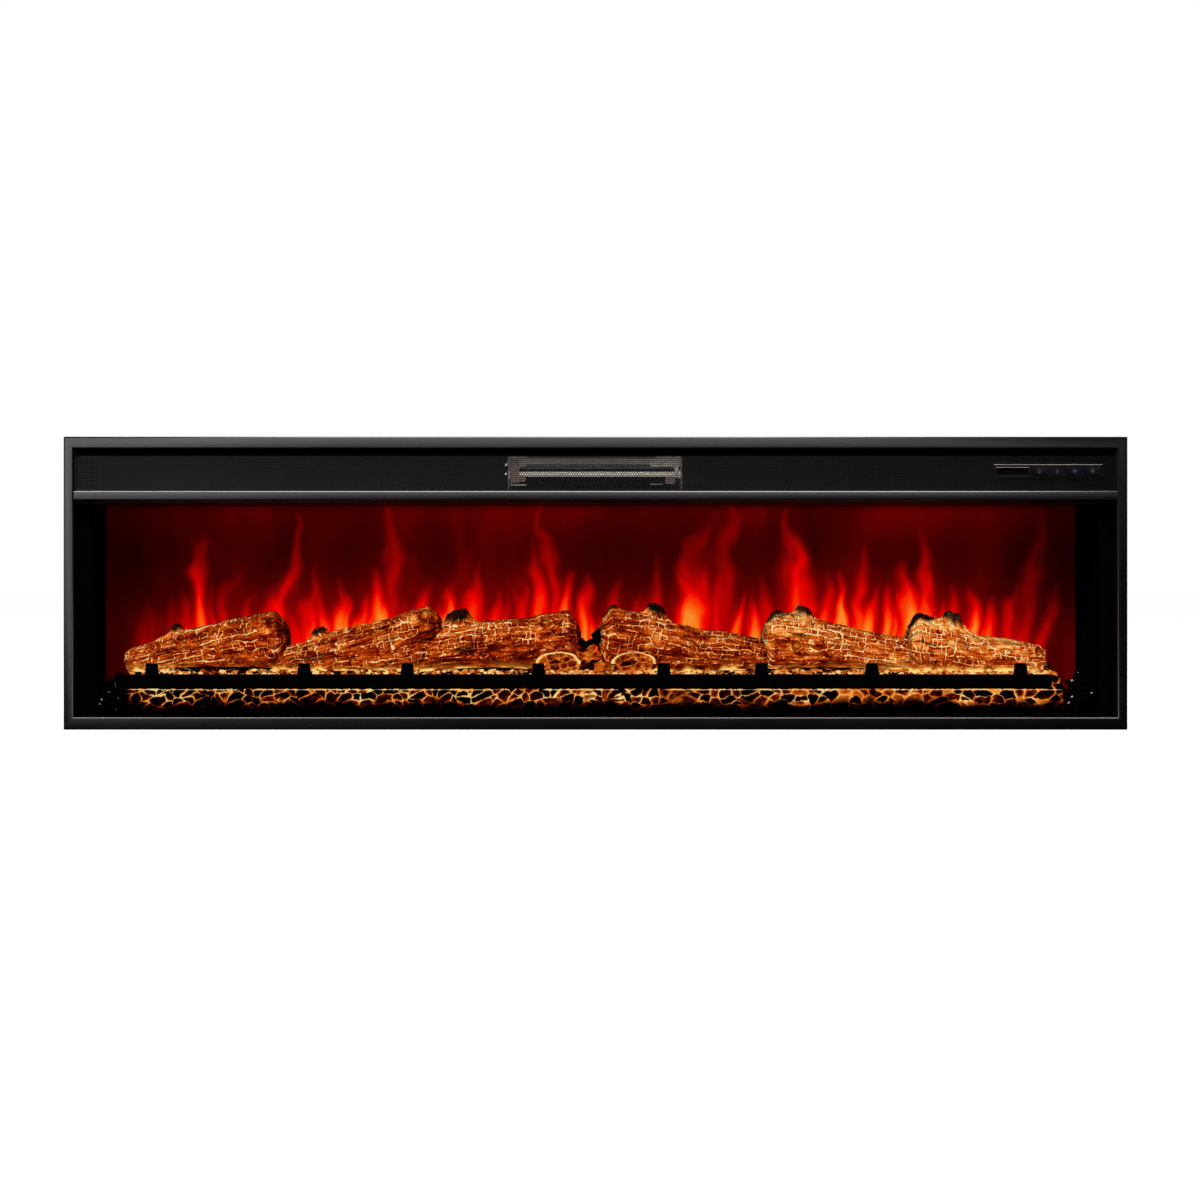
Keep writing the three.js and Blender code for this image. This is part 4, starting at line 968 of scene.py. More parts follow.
class FIREPLACE_OT_controls(bpy.types.Operator):
    """Bezel, display window and push buttons with their symbols"""

    bl_idname = "fireplace.controls"
    bl_label = "Controls"

    def execute(self, context):
        rounded_copy("control_bezel", "bezel_moulding", moulded_black(), CASING, 0.35 * MM)
        self.bead()
        rounded_copy("display_window", "display_pane", display_gloss(), CASING, 0.2 * MM)
        for name in BUTTONS:
            self.button(name)
        return {"FINISHED"}

    @staticmethod
    def bead():
        """The satin edge along the bezel's top, and a thin line above the display window."""
        low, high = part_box("control_bezel")
        inset, edge_height = 0.3 * MM, 0.7 * MM
        line_ends = low.x + 2.9 * MM, low.x + 50 * MM
        line_edges = high.z - 4.6 * MM, high.z - 4.1 * MM
        shell = Shell()
        shell.tube(upright_block(low.x + inset, high.x - inset, high.z - edge_height, high.z,
                                 low.y - 0.25 * MM, low.y + 0.5 * MM))
        shell.tube(upright_block(*line_ends, *line_edges, low.y - 0.1 * MM, low.y + 0.4 * MM))
        shell.piece("bezel_top_highlight", bead_satin(), slot="plastic_black", smooth_faces=False)

    @staticmethod
    def button(name):
        """A button's cap and its printed symbol, both riding on the button's body."""
        body = f"button_{name}"
        rounded_copy(body, f"{body}_cap", button_plastic(), body, 0.45 * MM, segments=3)
        low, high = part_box(body)
        half_height, lift, thick = 2.6 * MM, 0.06 * MM, 0.12 * MM
        bars = symbol_bars(name, (low.x + high.x) / 2, (low.z + high.z) / 2, half_height)
        shell = flat_bars(bars, low.y - lift, thick)
        shell.piece(f"{body}_symbol", symbol_print(), body=body, slot="button_black", smooth_faces=False)


# ---------------------------------------------------------------- fire
# Each flame: its place as a share of the screen's width, its half width in metres, its height above the
# screen's visible foot as a share of the visible height, how far its tip leans in metres, and its strength.
FLAMES = (
    (0.040, 0.016, 0.42, 0.012, 0.34),
    (0.085, 0.012, 0.46, -0.010, 0.44),
    (0.101, 0.011, 0.86, 0.002, 0.86),
    (0.118, 0.010, 0.56, 0.016, 0.46),
    (0.146, 0.010, 0.46, 0.020, 0.42),
    (0.172, 0.012, 0.52, 0.026, 0.40),
    (0.190, 0.013, 1.02, -0.022, 0.62),
    (0.208, 0.010, 0.62, 0.010, 0.60),
    (0.226, 0.009, 0.48, -0.012, 0.74),
    (0.244, 0.014, 0.42, -0.012, 0.84),
    (0.258, 0.010, 0.46, 0.008, 0.74),
    (0.278, 0.013, 0.62, -0.004, 1.10),
    (0.291, 0.014, 1.15, 0.006, 0.42),
    (0.322, 0.010, 0.52, 0.014, 0.72),
    (0.350, 0.013, 0.50, 0.003, 0.98),
    (0.374, 0.011, 0.66, 0.020, 0.62),
    (0.400, 0.010, 0.48, 0.010, 0.46),
    (0.424, 0.009, 0.56, 0.008, 0.58),
    (0.440, 0.011, 0.80, 0.014, 0.74),
    (0.462, 0.012, 1.10, 0.002, 0.44),
    (0.479, 0.013, 0.60, -0.004, 1.22),
    (0.497, 0.012, 0.58, -0.002, 1.05),
    (0.520, 0.010, 0.56, 0.022, 0.52),
    (0.550, 0.011, 0.44, 0.014, 0.58),
    (0.574, 0.012, 0.74, -0.012, 0.44),
    (0.600, 0.017, 0.62, 0.000, 1.16),
    (0.607, 0.014, 0.92, 0.002, 0.58),
    (0.628, 0.015, 1.10, 0.004, 0.40),
    (0.648, 0.010, 0.46, 0.012, 0.74),
    (0.668, 0.011, 0.40, 0.008, 0.92),
    (0.688, 0.012, 0.56, -0.010, 0.46),
    (0.716, 0.016, 1.05, -0.026, 0.74),
    (0.740, 0.012, 0.58, -0.008, 0.66),
    (0.757, 0.010, 0.60, -0.008, 1.06),
    (0.776, 0.011, 0.78, 0.004, 0.72),
    (0.786, 0.012, 0.50, 0.012, 1.04),
    (0.806, 0.010, 0.52, 0.004, 0.92),
    (0.830, 0.017, 0.66, -0.006, 1.16),
    (0.846, 0.012, 0.86, 0.006, 0.70),
    (0.868, 0.012, 0.50, 0.004, 0.84),
    (0.893, 0.011, 0.48, -0.006, 0.98),
    (0.910, 0.010, 0.42, 0.006, 0.86),
    (0.930, 0.012, 0.58, 0.008, 0.56),
    (0.947, 0.014, 1.08, -0.010, 0.46),
    (0.962, 0.010, 0.52, 0.020, 0.62),
)
LICK_COUNT = 70  # small flames between those


def all_flames():
    """The flames that were placed by hand, and small ones between them, brightest near the strong ones."""
    rng = np.random.default_rng(5)
    placed = np.array(FLAMES)
    spots = rng.uniform(0.07, 0.95, LICK_COUNT)
    near = np.interp(spots, placed[:, 0], placed[:, 4])
    small = np.stack([
        spots,
        rng.uniform(0.004, 0.008, LICK_COUNT),
        rng.uniform(0.26, 0.56, LICK_COUNT),
        rng.uniform(-0.012, 0.016, LICK_COUNT),
        near * rng.uniform(0.45, 0.95, LICK_COUNT),
    ], -1)
    return np.vstack([placed, small])


def flame_field(share, rise, width):
    """How hot the screen looks. Each flame is a soft leaf: widest near its foot, narrow at its tip, and
    hottest along its core. The hottest one counts, a little of all the others is added, and a dim red ground
    lies under them. Both ends of the screen are dimmer."""
    sway = noise(share * 22, rise * 3.2, seed=3) * 0.036 + noise(share * 60, rise * 9, seed=4) * 0.012
    x = share * width + sway * rise
    ragged = 0.35 * layered(share * 90, rise * 5, layers=2, seed=14)
    total = np.zeros(share.shape)
    hottest = np.zeros(share.shape)
    for k, (place, half_width, height, lean, strength) in enumerate(all_flames()):
        up = np.clip(rise / height, 0, 1)
        middle = place * width + lean * up**1.6 + half_width * 0.3 * np.sin(up * 5 + k * 1.7)
        half = half_width * (1.75 * np.sqrt(up + 0.16) * (1 - up) ** 0.8 + 0.22)
        side = (x - middle) / half + ragged
        body = np.exp(-1.2 * side**2) + 0.5 * max(strength - 0.6, 0) * np.exp(-3.5 * side**2) * (1 - up)
        flame = strength * body * (1 - up**2)
        hottest = np.maximum(hottest, flame)
        total += flame
    wisps = layered(share * 60 + rise * 1.5, rise * 1.5, layers=3, seed=11)
    veil = layered(share * 15 - rise, rise * 0.9, layers=3, seed=12)
    ground = 0.26 + 0.04 * veil + 0.12 * smooth(0.7, 0.2, rise)
    ground = ground + 0.02 * wisps + 0.045 * smooth(0.7, 1.0, rise)
    ground += 0.13 * smooth(0.42, 0.05, rise) * (0.7 + 0.6 * noise(share * 26, rise * 2, seed=15))
    fire = ground + 0.54 * hottest + 0.05 * np.minimum(total, 1.8)
    fire = fire * (1 + 0.10 * wisps * smooth(0.35, 0.6, fire))
    left, right = smooth(-0.05, 0.17, share), smooth(1.05, 0.87, share)
    return fire * (0.48 + 0.52 * left * right)


class FIREPLACE_OT_flames(bpy.types.Operator):
    """Flame screen: a thin block whose front carries the flames as a stored value"""

    bl_idname = "fireplace.flames"
    bl_label = "Flame Screen"

    def execute(self, context):
        low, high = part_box("flame_screen")
        columns, rows = 560, 130
        x, z = np.linspace(low.x, high.x, columns), np.linspace(low.z, high.z, rows)
        x, z = np.meshgrid(x, z, indexing="ij")
        front = np.stack([x, np.full(x.shape, low.y), z], -1).reshape(-1, 3)
        edge = np.concatenate([
            np.arange(columns) * rows,
            (columns - 1) * rows + np.arange(1, rows),
            np.arange(columns - 2, -1, -1) * rows + rows - 1,
            np.arange(rows - 2, 0, -1),
        ])
        back = front[edge] + (0, high.y - low.y, 0)
        back_middle = [(low.x + high.x) / 2, high.y, (low.z + high.z) / 2]
        points = np.vstack([front, back, [back_middle]])
        ring = len(front) + np.arange(len(edge))
        turn = np.roll(np.arange(len(edge)), -1)
        sides = np.stack([edge, edge[turn], ring[turn], ring], -1)
        quads = grid_faces(columns, rows)
        stored = np.zeros(len(points))
        stored[:len(front)] = self.fire(x, z, low, high).ravel()
        shell = Shell()
        shell.add(points, quads, sides, pole_faces(ring, len(points) - 1, False), closed=False, fire=stored)
        piece = shell.piece("flame_screen_lit", flame_glow(), slot="flame_screen", replaces=["flame_screen"],
                            sharp=60)
        shape = bmesh.new()
        shape.from_mesh(piece.data)
        bmesh.ops.recalc_face_normals(shape, faces=shape.faces)
        shape.to_mesh(piece.data)
        shape.free()
        return {"FINISHED"}

    @staticmethod
    def fire(x, z, low, high):
        """How hot each place of the screen looks. The flames stand between the liners, above the bed."""
        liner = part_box("chamber_liner_left")[1].x
        width = -2 * liner
        foot = low.z + 98 * MM
        rise = np.clip((z - foot) / (high.z - foot), 0, 1)
        top = smooth(high.z - 1 * MM, high.z - 10 * MM, z) * 0.12 + 0.88
        return flame_field((x - liner) / width, rise, width) * top


# Each log: how bright it is lit from inside, which end is high, the radius at its low and high ends, how much
# longer and taller than its CAD body it is, its broken branches and its knots. Lengths are in metres.
# A branch is its place along the log, its angle from the top towards the front in degrees, its radius and its
# height in metres. A knot is its place, its angle and its radius.
LOGS = (
    {"lit": 0.24, "rises": 1, "radii": (0.017, 0.034), "more": (0.0, 0.009),
     "branches": ((0.33, -14, 0.010, 0.017),), "knots": ((0.93, 50, 0.014), (0.36, 44, 0.006))},
    {"lit": 0.21, "rises": 1, "radii": (0.018, 0.032), "more": (0.0, 0.014),
     "branches": ((0.30, -14, 0.011, 0.016),), "knots": ((0.93, 52, 0.013), (0.33, 48, 0.007))},
    {"lit": 0.19, "rises": 1, "radii": (0.024, 0.038), "more": (0.003, 0.010),
     "branches": ((0.40, -10, 0.017, 0.024), (0.95, -30, 0.012, 0.008)), "knots": ((0.84, 48, 0.009),)},
    {"lit": 0.20, "rises": -1, "radii": (0.021, 0.040), "more": (0.003, 0.007),
     "branches": ((0.69, -8, 0.014, 0.021), (0.96, -6, 0.010, 0.010)), "knots": ((0.52, 22, 0.010),)},
    {"lit": 0.31, "rises": -1, "radii": (0.019, 0.039), "more": (0.015, 0.001),
     "branches": ((0.75, -2, 0.012, 0.018), (0.95, 2, 0.013, 0.007)), "knots": ((0.80, 96, 0.008),)},
    {"lit": 0.36, "rises": -1, "radii": (0.018, 0.039), "more": (0.008, 0.001),
     "branches": ((0.69, -4, 0.014, 0.022), (0.93, 0, 0.016, 0.009)), "knots": ((0.06, 60, 0.007),)},
)


def bark_cracks(along, around, seed):
    """The distance to the nearest crack. Cracks run along the log in rows that wander, and across each row at
    random places, so that they meet like the joints of rough brickwork. Some are missing."""
    row_height, length = 8.6 * MM, 10.0 * MM
    wander = layered(along * 55, around * 55, layers=3, seed=seed) * 0.36
    v = around / row_height + wander
    row = np.floor(v)
    to_row = np.minimum(v - row, row + 1 - v) * row_height
    nearer_row = np.where(v - row < 0.5, row, row + 1)
    shift = layered(along * 80, around * 80, layers=3, seed=seed + 9) * 0.34
    u = along / length + hashed(row, seed=seed + 5) + shift
    cell = np.floor(u)
    across = np.full(along.shape, 1.0)
    for step in (-1, 0, 1, 2):
        edge = cell + step
        place = edge + 0.8 * (hashed(edge, row, seed=seed + 6) - 0.5)
        missing = hashed(edge, row, seed=seed + 7) < 0.18
        across = np.minimum(across, np.where(missing, 1.0, np.abs(u - place) * length))
    gap = hashed(np.floor(u * 0.5), nearer_row, seed=seed + 8) < 0.24
    lengthwise = np.where(gap, 1.0, to_row)
    return np.minimum(across, lengthwise)


def log_grid(rings, end_rings, around):
    """Where each point of a log lies: its share of the log's length, its angle from the top towards the
    front, how far its ring has shrunk, and -1, 0 or 1 for the low end's face, the side and the high end's."""
    inward = np.linspace(0.05, 1, end_rings, endpoint=False) ** 0.8
    share = np.concatenate([np.zeros(end_rings), np.linspace(0, 1, rings), np.ones(end_rings)])
    shrink = np.concatenate([inward, np.ones(rings), inward[::-1]])
    face = np.concatenate([np.full(end_rings, -1.0), np.zeros(rings), np.ones(end_rings)])
    turn = np.linspace(0, 2 * np.pi, around, endpoint=False)
    share, turn = np.meshgrid(share, turn, indexing="ij")
    return share, turn, shrink[:, None] + 0 * turn, face[:, None] + 0 * turn


def log_line(log, low, high):
    """A log's middle line in X and Z: its start, its direction, the direction up from it and its length."""
    small, large = log["radii"]
    longer, taller = log["more"]
    low_x, high_x = (low.x, high.x) if log["rises"] > 0 else (high.x, low.x)
    inset = 1 * MM * log["rises"]
    start = np.array([low_x + inset, low.z + small])
    stop = np.array([high_x - inset + longer * log["rises"], high.z - large - 5 * MM + taller])
    line = stop - start
    length = np.hypot(*line)
    direction = line / length
    up = np.array([-direction[1], direction[0]]) * log["rises"]
    return start, direction, up, length


def outward_normals(points):
    """Directions out of a surface that is given as rings of points."""
    tangent = np.gradient(points, axis=0)
    sideways = np.roll(points, -1, 1) - np.roll(points, 1, 1)
    normal = np.cross(sideways, tangent)
    normal /= np.linalg.norm(normal, axis=-1, keepdims=True) + 1e-12
    if (normal * (points - points.mean(1, keepdims=True))).sum() < 0:
        normal = -normal
    return normal


def log_shape(number, log, low, high, floor_height):
    """A log as rings along a slightly bowed line. The radius grows from the low end to the high end, and the
    underside reaches down to the bed. Ridges along the grain, lumps, a flared stump for each broken branch, a
    ringed swelling for each knot and a groove at each crack are added. Both end faces slant a little towards
    the front, and dish inwards between growth rings."""
    seed = 31 * number
    small, large = log["radii"]
    start, direction, up, length = log_line(log, low, high)
    share, turn, shrink, face = log_grid(rings=290, end_rings=14, around=190)
    flat, growth_rings = 0.72, 26

    mean = 0.5 * (small + large)
    radius = (small + (large - small) * share**0.9) * (1 + 0.08 * noise(share * 5, 0.3, seed=seed))
    along, arc = share * length, turn * mean
    ring_x, ring_y = np.cos(turn), np.sin(turn)
    lumps = layered(along * 19, ring_x * 1.5, ring_y * 1.5, layers=2, seed=seed + 1)
    twist = turn + along * 3.0 + 0.25 * noise(along * 14, ring_x, ring_y, seed=seed + 15)
    ridges = layered(along * 17, np.cos(twist) * 7.5, np.sin(twist) * 7.5, layers=3, seed=seed + 2)
    fine = layered(along * 120, ring_x * 16, ring_y * 16, layers=2, seed=seed + 16)
    crack = bark_cracks(along, arc, seed)
    bare = layered(along * 21, ring_x * 1.9, ring_y * 1.9, layers=2, seed=seed + 12)
    crack = crack + smooth(0.3, 0.8, bare) * 2.5 * MM
    wavy = np.abs(np.sin(ridges * 5 + lumps * 2)) * 3.2 * MM
    crack = np.minimum(crack, wavy + smooth(-0.1, -0.55, bare) * 3 * MM + smooth(0.1, -0.2, bare) * 3 * MM)
    char = 0.9 * smooth(0.25, 0.75, ridges * 0.8 + lumps * 0.35) * smooth(0.25, -0.3, bare)

    groove = 0.8 * MM * smooth(1.2 * MM, 0.2 * MM, crack)
    swell = 3.0 * MM * lumps + 1.5 * MM * ridges + 0.45 * MM * fine - groove
    from_high, from_low = (1 - share) * length, share * length
    end_round = 0.36 * smooth(15 * MM, 0, from_high) ** 2 + 0.16 * smooth(18 * MM, 0, from_low) ** 2

    def reach_from(place, angle):
        """The distance over the bark from a place on it."""
        off = np.angle(np.exp(1j * (turn - np.radians(angle))))
        return np.hypot((share - place) * length, off * radius)

    for place, angle, thick, tall in log["branches"]:
        away = reach_from(place, angle) * (1 + 0.22 * noise(turn * 5, share * 40, seed=seed))
        stump = 1 / (1 + (away / thick) ** 6)
        flare = np.exp(-((away / (2.1 * thick)) ** 2))
        jag = 0.12 * layered(along * 230, turn * 9, layers=2, seed=seed + 20)
        swell = swell + tall * (stump * (0.70 + jag) + 0.30 * flare)
        char = np.maximum(char, smooth(0.12, 0.60, stump))
    for place, angle, thick in log["knots"]:
        away = reach_from(place, angle) * (1 + 0.34 * noise(turn * 4, share * 30, seed=seed + 30))
        near = smooth(2.0 * thick, 1.1 * thick, away)
        ring = np.abs(away - 1.05 * thick)
        crack = crack * (1 - near) + (ring + 0.3 * MM) * near
        lip = 2.6 * MM * np.exp(-(((away - thick) / (0.45 * thick)) ** 2))
        swell = swell + lip - 2.0 * MM * smooth(thick * 0.8, 0, away)
        dark_ring = np.exp(-(((away - 0.62 * thick) / (0.2 * thick)) ** 2))
        char = np.maximum(char * (1 - 0.7 * near), 0.85 * dark_ring)
    radius = (radius + swell) * (1 - end_round) * shrink

    axis_z = start[1] + direction[1] * along
    below = np.clip(-ring_x, 0, 1) * smooth(-0.03, 0.05, share) * smooth(1.0, 0.93, share)
    drop = np.clip((axis_z - floor_height) / np.maximum(radius, 1 * MM) - 1, 0, 0.62) * below
    away_up = radius * ring_x * (1 + drop)
    bow = 4 * MM * (1 if number % 2 else -0.5)
    away_up += bow * np.sin(share * np.pi) + 2 * MM * noise(share * 4, 0.7, seed=seed + 3)
    toward_ends = np.where(face == 0, smooth(0.90, 1.0, share) - smooth(0.08, 0.0, share), face)
    slant = -0.14 * radius * ring_y * flat * toward_ends
    rings = 0.5 * MM * np.sin(shrink * growth_rings + 1.5 * noise(turn * 1.5, 0.4, seed=seed + 7))
    rough = 1.6 * MM * noise(ring_x * shrink * 4, ring_y * shrink * 4, seed=seed + 4)
    travel = along + slant + face * (3.5 * MM * (1 - shrink**2) - rings - rough)
    x = start[0] + direction[0] * travel + up[0] * away_up
    z = start[1] + direction[1] * travel + up[1] * away_up
    points = np.stack([x, (low.y + high.y) / 2 - radius * ring_y * flat, z], -1)

    normal = outward_normals(points)
    # Painted shading: lit grows where the bark faces the front, the left and the top, and where it swells
    # out, and it drops in the grooves.
    light = np.clip(normal @ np.array([-0.42, -0.70, 0.38]), 0, 1)
    lit = log["lit"] + 0.44 * light**1.3 + 0.12 * np.clip(swell / (3 * MM), -1, 1)
    end_face = np.abs(face) * (1 - 0.25 * shrink)
    char = np.maximum(char, end_face * (0.85 - 0.45 * smooth(-0.2, 0.9, np.sin(shrink * growth_rings))))
    faces_up = smooth(0.66, 0.93, normal[..., 2])
    char = np.maximum(char, 0.9 * faces_up * smooth(-0.6, 0.5, lumps + ridges * 0.5))
    height = np.clip(z - floor_height, 0, 1)
    glow = np.exp(-height / (4.0 * MM)) + 0.10 * np.exp(-height / (10 * MM))
    glow = np.clip(glow * (0.7 + 0.9 * layered(along * 75, turn * 2, layers=2, seed=seed + 8)), 0, 1)
    values = {"along": along, "around": arc, "crack": crack, "lit": lit, "glow": glow}
    values.update(char=np.clip(char, 0, 1) * (1 - glow), own=np.full(share.shape, number * 3.7))
    return points, values


class FIREPLACE_OT_logs(bpy.types.Operator):
    """Resin logs with ridged bark, broken branches and burning cracks"""

    bl_idname = "fireplace.logs"
    bl_label = "Logs"

    def execute(self, context):
        bed_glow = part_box("ember_bed")[0].z + 81 * MM
        for number, log in enumerate(LOGS, 1):
            node = f"log_{number}"
            low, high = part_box(node)
            points, values = log_shape(number, log, low, high, bed_glow)
            shell = Shell()
            shell.tube(points, **values)
            shell.piece(f"{node}_bark", burning_bark(), slot="log_resin", replaces=[node])
        return {"FINISHED"}


def lump_template():
    """A ball of twenty faces: the twelve corners of an icosahedron."""
    golden = (1 + math.sqrt(5)) / 2
    corners = []
    for a in (-1, 1):
        for b in (-golden, golden):
            corners += [(a, b, 0), (0, a, b), (b, 0, a)]
    corners = np.array(corners) / math.hypot(1, golden)
    reach = np.linalg.norm(corners[:, None] - corners[None], axis=-1)
    near = (reach > 0.1) & (reach < 1.06)
    faces = [(i, j, k) for i in range(12) for j in range(i + 1, 12) for k in range(j + 1, 12)
             if near[i, j] and near[j, k] and near[i, k]]
    faces = np.array(faces)
    a, b, c = (corners[faces[:, i]] for i in range(3))
    inward = np.einsum("ij,ij->i", np.cross(b - a, c - a), a) < 0
    faces[inward] = faces[inward][:, ::-1]
    return corners, faces


def scatter_lumps(shell, centres, sizes, seed, squash=(1, 1, 1), **values):
    """Rough lumps: a ball at each centre, turned, stretched and dented by random amounts."""
    corners, faces = lump_template()
    rng = np.random.default_rng(seed)
    count = len(centres)
    turns = np.linalg.qr(rng.normal(size=(count, 3, 3)))[0]
    turns[np.linalg.det(turns) < 0, :, 0] *= -1
    dents = 1 + 0.28 * rng.uniform(-1, 1, (count, 12, 1))
    stretch = 1 + 0.3 * rng.uniform(-1, 1, (count, 1, 3))
    shapes = np.einsum("nij,nkj->nki", turns, corners[None] * dents * stretch) * np.array(squash)
    points = centres[:, None] + shapes * sizes[:, None, None]
    all_faces = faces[None] + (np.arange(count) * 12)[:, None, None]
    stored = {name: np.repeat(value, 12) for name, value in values.items()}
    shell.add(points, all_faces.reshape(-1, 3), closed=False, **stored)


def bed_profile():
    """The bed's section in Y and Z: a front slope, a shelf for the logs and a raised rear edge."""
    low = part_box("ember_bed")[0]
    steps = [(0, 0.0), (1, 20.5), (16, 46.5), (28, 66.5), (40, 73.5), (82, 77.5), (93, 94.5)]
    return np.array([(low.y + y * MM, low.z + z * MM) for y, z in steps])


class FIREPLACE_OT_embers(bpy.types.Operator):
    """Ember bed, nuggets, loose embers and the coal heaps at both ends"""

    bl_idname = "fireplace.embers"
    bl_label = "Embers and Coals"

    def execute(self, context):
        self.bed()
        self.nuggets()
        self.loose_embers()
        self.charred_chunks()
        rng = np.random.default_rng(80)
        self.coal_heaps(rng)
        self.strewn_coals(rng)
        return {"FINISHED"}

    @staticmethod
    def bed():
        """The section is carried along X. Each cell of a random pattern bulges out like a coal, and the seams
        between cells hold the light, most under the grate bar and none near the floor."""
        low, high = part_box("ember_bed")
        corners = bed_profile()
        lengths = np.concatenate([[0], np.cumsum(np.hypot(*np.diff(corners, axis=0).T))])
        shown = 84 * MM
        travel = np.concatenate([np.linspace(0, shown, 67), np.linspace(shown, lengths[-1], 19)[1:]])
        section = np.stack([np.interp(travel, lengths, corners[:, k]) for k in (0, 1)], -1)
        slope = np.gradient(section, axis=0)
        slope /= np.linalg.norm(slope, axis=-1, keepdims=True)
        outward = np.stack([-slope[:, 1], slope[:, 0]], -1)
        sections = 1060
        x_grid, travel_grid = np.meshgrid(np.linspace(low.x, high.x, sections), travel, indexing="ij")
        warp = layered(x_grid * 45, travel_grid * 45, layers=3, seed=50) * 0.40
        wide, tall = 17 * MM, 12.5 * MM
        nearest, second, own = cells(x_grid / wide + warp, travel_grid / tall + warp, 1.0, seed=51)
        edge = smooth(0, 3 * MM, travel_grid) * smooth(lengths[-1], lengths[-1] - 3 * MM, travel_grid)
        edge = edge * smooth(low.x, low.x + 3 * MM, x_grid) * smooth(high.x, high.x - 3 * MM, x_grid)
        lump = 5.4 * MM * np.sqrt(np.clip(1 - (nearest / 0.72) ** 2, 0, 1))
        bulge = (lump + 0.8 * MM * layered(x_grid * 260, travel_grid * 260, layers=2, seed=52)) * edge
        y = section[None, :, 0] + outward[None, :, 0] * bulge
        z = section[None, :, 1] + outward[None, :, 1] * bulge
        front = np.stack([x_grid, y, z], -1)

        seam = (second - nearest) * 0.5 * 16 * MM
        ragged = z - low.z + 5 * MM * layered(x_grid * 45, travel_grid * 20, layers=2, seed=54)
        glow = smooth(27 * MM, 44 * MM, ragged) * (0.82 + 0.4 * noise(x_grid * 30, travel_grid * 30, seed=53))
        own = own * (0.62 + 0.75 * smooth(-0.1, 0.55, x_grid + 0.25 * noise(x_grid * 9, 0.5, seed=56)))
        bar_foot, leak_height = 0.0552, 0.9 * MM
        spots = smooth(-0.75, -0.35, noise(x_grid * 22, 0.5, seed=55))
        leak = np.exp(-(((z - bar_foot) / leak_height) ** 2)) * spots
        seam = seam * (1 - 0.995 * smooth(0.2, 0.6, leak))
        ends = smooth(0, 18 * MM, x_grid - low.x) * smooth(0, 8 * MM, high.x - x_grid)
        glow = np.maximum(glow, leak) * ends

        step, thick = 12, 2.2 * MM
        few = np.arange(0, len(travel), step)
        inner_y, inner_z = (section - outward * thick)[few].T
        inside = np.stack(np.broadcast_arrays(x_grid[:, few], inner_y, np.maximum(inner_z, low.z)), -1)
        rings = np.concatenate([front, inside[:, ::-1]], 1)
        count, around = rings.shape[:2]
        outer = np.arange(len(travel) - 1)
        steps = np.arange(len(few) - 1)
        cap = np.vstack([
            np.stack([outer, outer + 1, around - 1 - outer // step], -1),
            np.stack([around - 1 - steps, (steps + 1) * step, around - 2 - steps], -1),
        ])
        unlit = np.zeros((count, len(few)))
        stored = {"crack": seam, "own": own, "glow": glow}
        stored = {name: np.hstack([value, unlit]) for name, value in stored.items()}
        shell = Shell()
        sides = grid_faces(count, around, wrap_columns=True)
        shell.add(rings, sides, cap, cap[:, ::-1] + (count - 1) * around, **stored)
        shell.piece("ember_bed_lit", glowing_embers(), slot="ember_resin", replaces=["ember_bed"])

    @staticmethod
    def nuggets():
        """Oval lumps: an ellipsoid with bulging cells, brightest round its rim and at its foot."""
        for k, side in enumerate(("left", "right")):
            low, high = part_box(f"ember_nugget_{side}")
            middle = (np.array(low) + np.array(high)) / 2
            half = (np.array(high) - np.array(low)) / 2 * (0.97, 0.9, 0.97)
            up = np.linspace(0.02, np.pi - 0.02, 90)
            turn = np.linspace(0, 2 * np.pi, 160, endpoint=False)
            up, turn = np.meshgrid(up, turn, indexing="ij")
            across, height = np.cos(up), np.sin(up) * np.sin(turn)
            normal = np.stack([across, -np.sin(up) * np.cos(turn), height], -1)
            warp = 0.25 * layered(across * 3, height * 3, layers=2, seed=60 + k)
            nearest, second, own = cells(across * 2.2 + warp, height * 2.0 + warp, 0.9, seed=61 + k)
            swell = 1 + 0.07 * np.sqrt(np.clip(1 - (nearest / 0.7) ** 2, 0, 1)) - 0.05
            points = middle + normal * half * swell[..., None]
            rim = smooth(0.55, 0.95, np.hypot(across, height))
            seam = (second - nearest) * 0.5 * 15 * MM + 0.6 * MM
            to_rim = (1.0 - rim) * 9 * MM + 0.1 * MM + 9 * (height < 0)
            shell = Shell()
            shell.tube(points, crack=np.minimum(seam, to_rim), own=own * 0.45 + 0.55, glow=0.75 + 0.25 * rim)
            shell.piece(f"ember_nugget_{side}_lit", glowing_embers(), slot="ember_resin",
                        replaces=[f"ember_nugget_{side}"])

    @staticmethod
    def loose_embers():
        """Small hot lumps that lie on the bed between the grate bar and the logs, more of them near the
        middle, and a pile of larger ones there."""
        rng = np.random.default_rng(70)
        bar_low, bar_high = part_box("grate_bar")
        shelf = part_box("ember_bed")[0]
        spread_count, middle_count = 760, 60
        spread = rng.uniform(bar_low.x + 8 * MM, bar_high.x - 2 * MM, spread_count)
        x = np.concatenate([spread, rng.normal(0.01, 0.05, middle_count)])
        count = len(x)
        size = rng.uniform(1.8, 3.6, count) * MM
        y = np.full(count, bar_high.y + 7.5 * MM) + rng.uniform(-1.5, 2.5, count) * MM
        z = np.full(count, shelf.z + 71 * MM) + size * 0.7 + 9 * rng.uniform(0, 1, count) ** 1.5 * MM
        glow = rng.uniform(0.75, 1.0, count)
        crack = rng.uniform(0, 1.6, count) * MM
        own = rng.uniform(0.4, 1, count)
        shell = Shell()
        scatter_lumps(shell, np.stack([x, y, z], -1), size, 71, (1.3, 0.8, 0.8), crack=crack, own=own,
                      glow=glow)

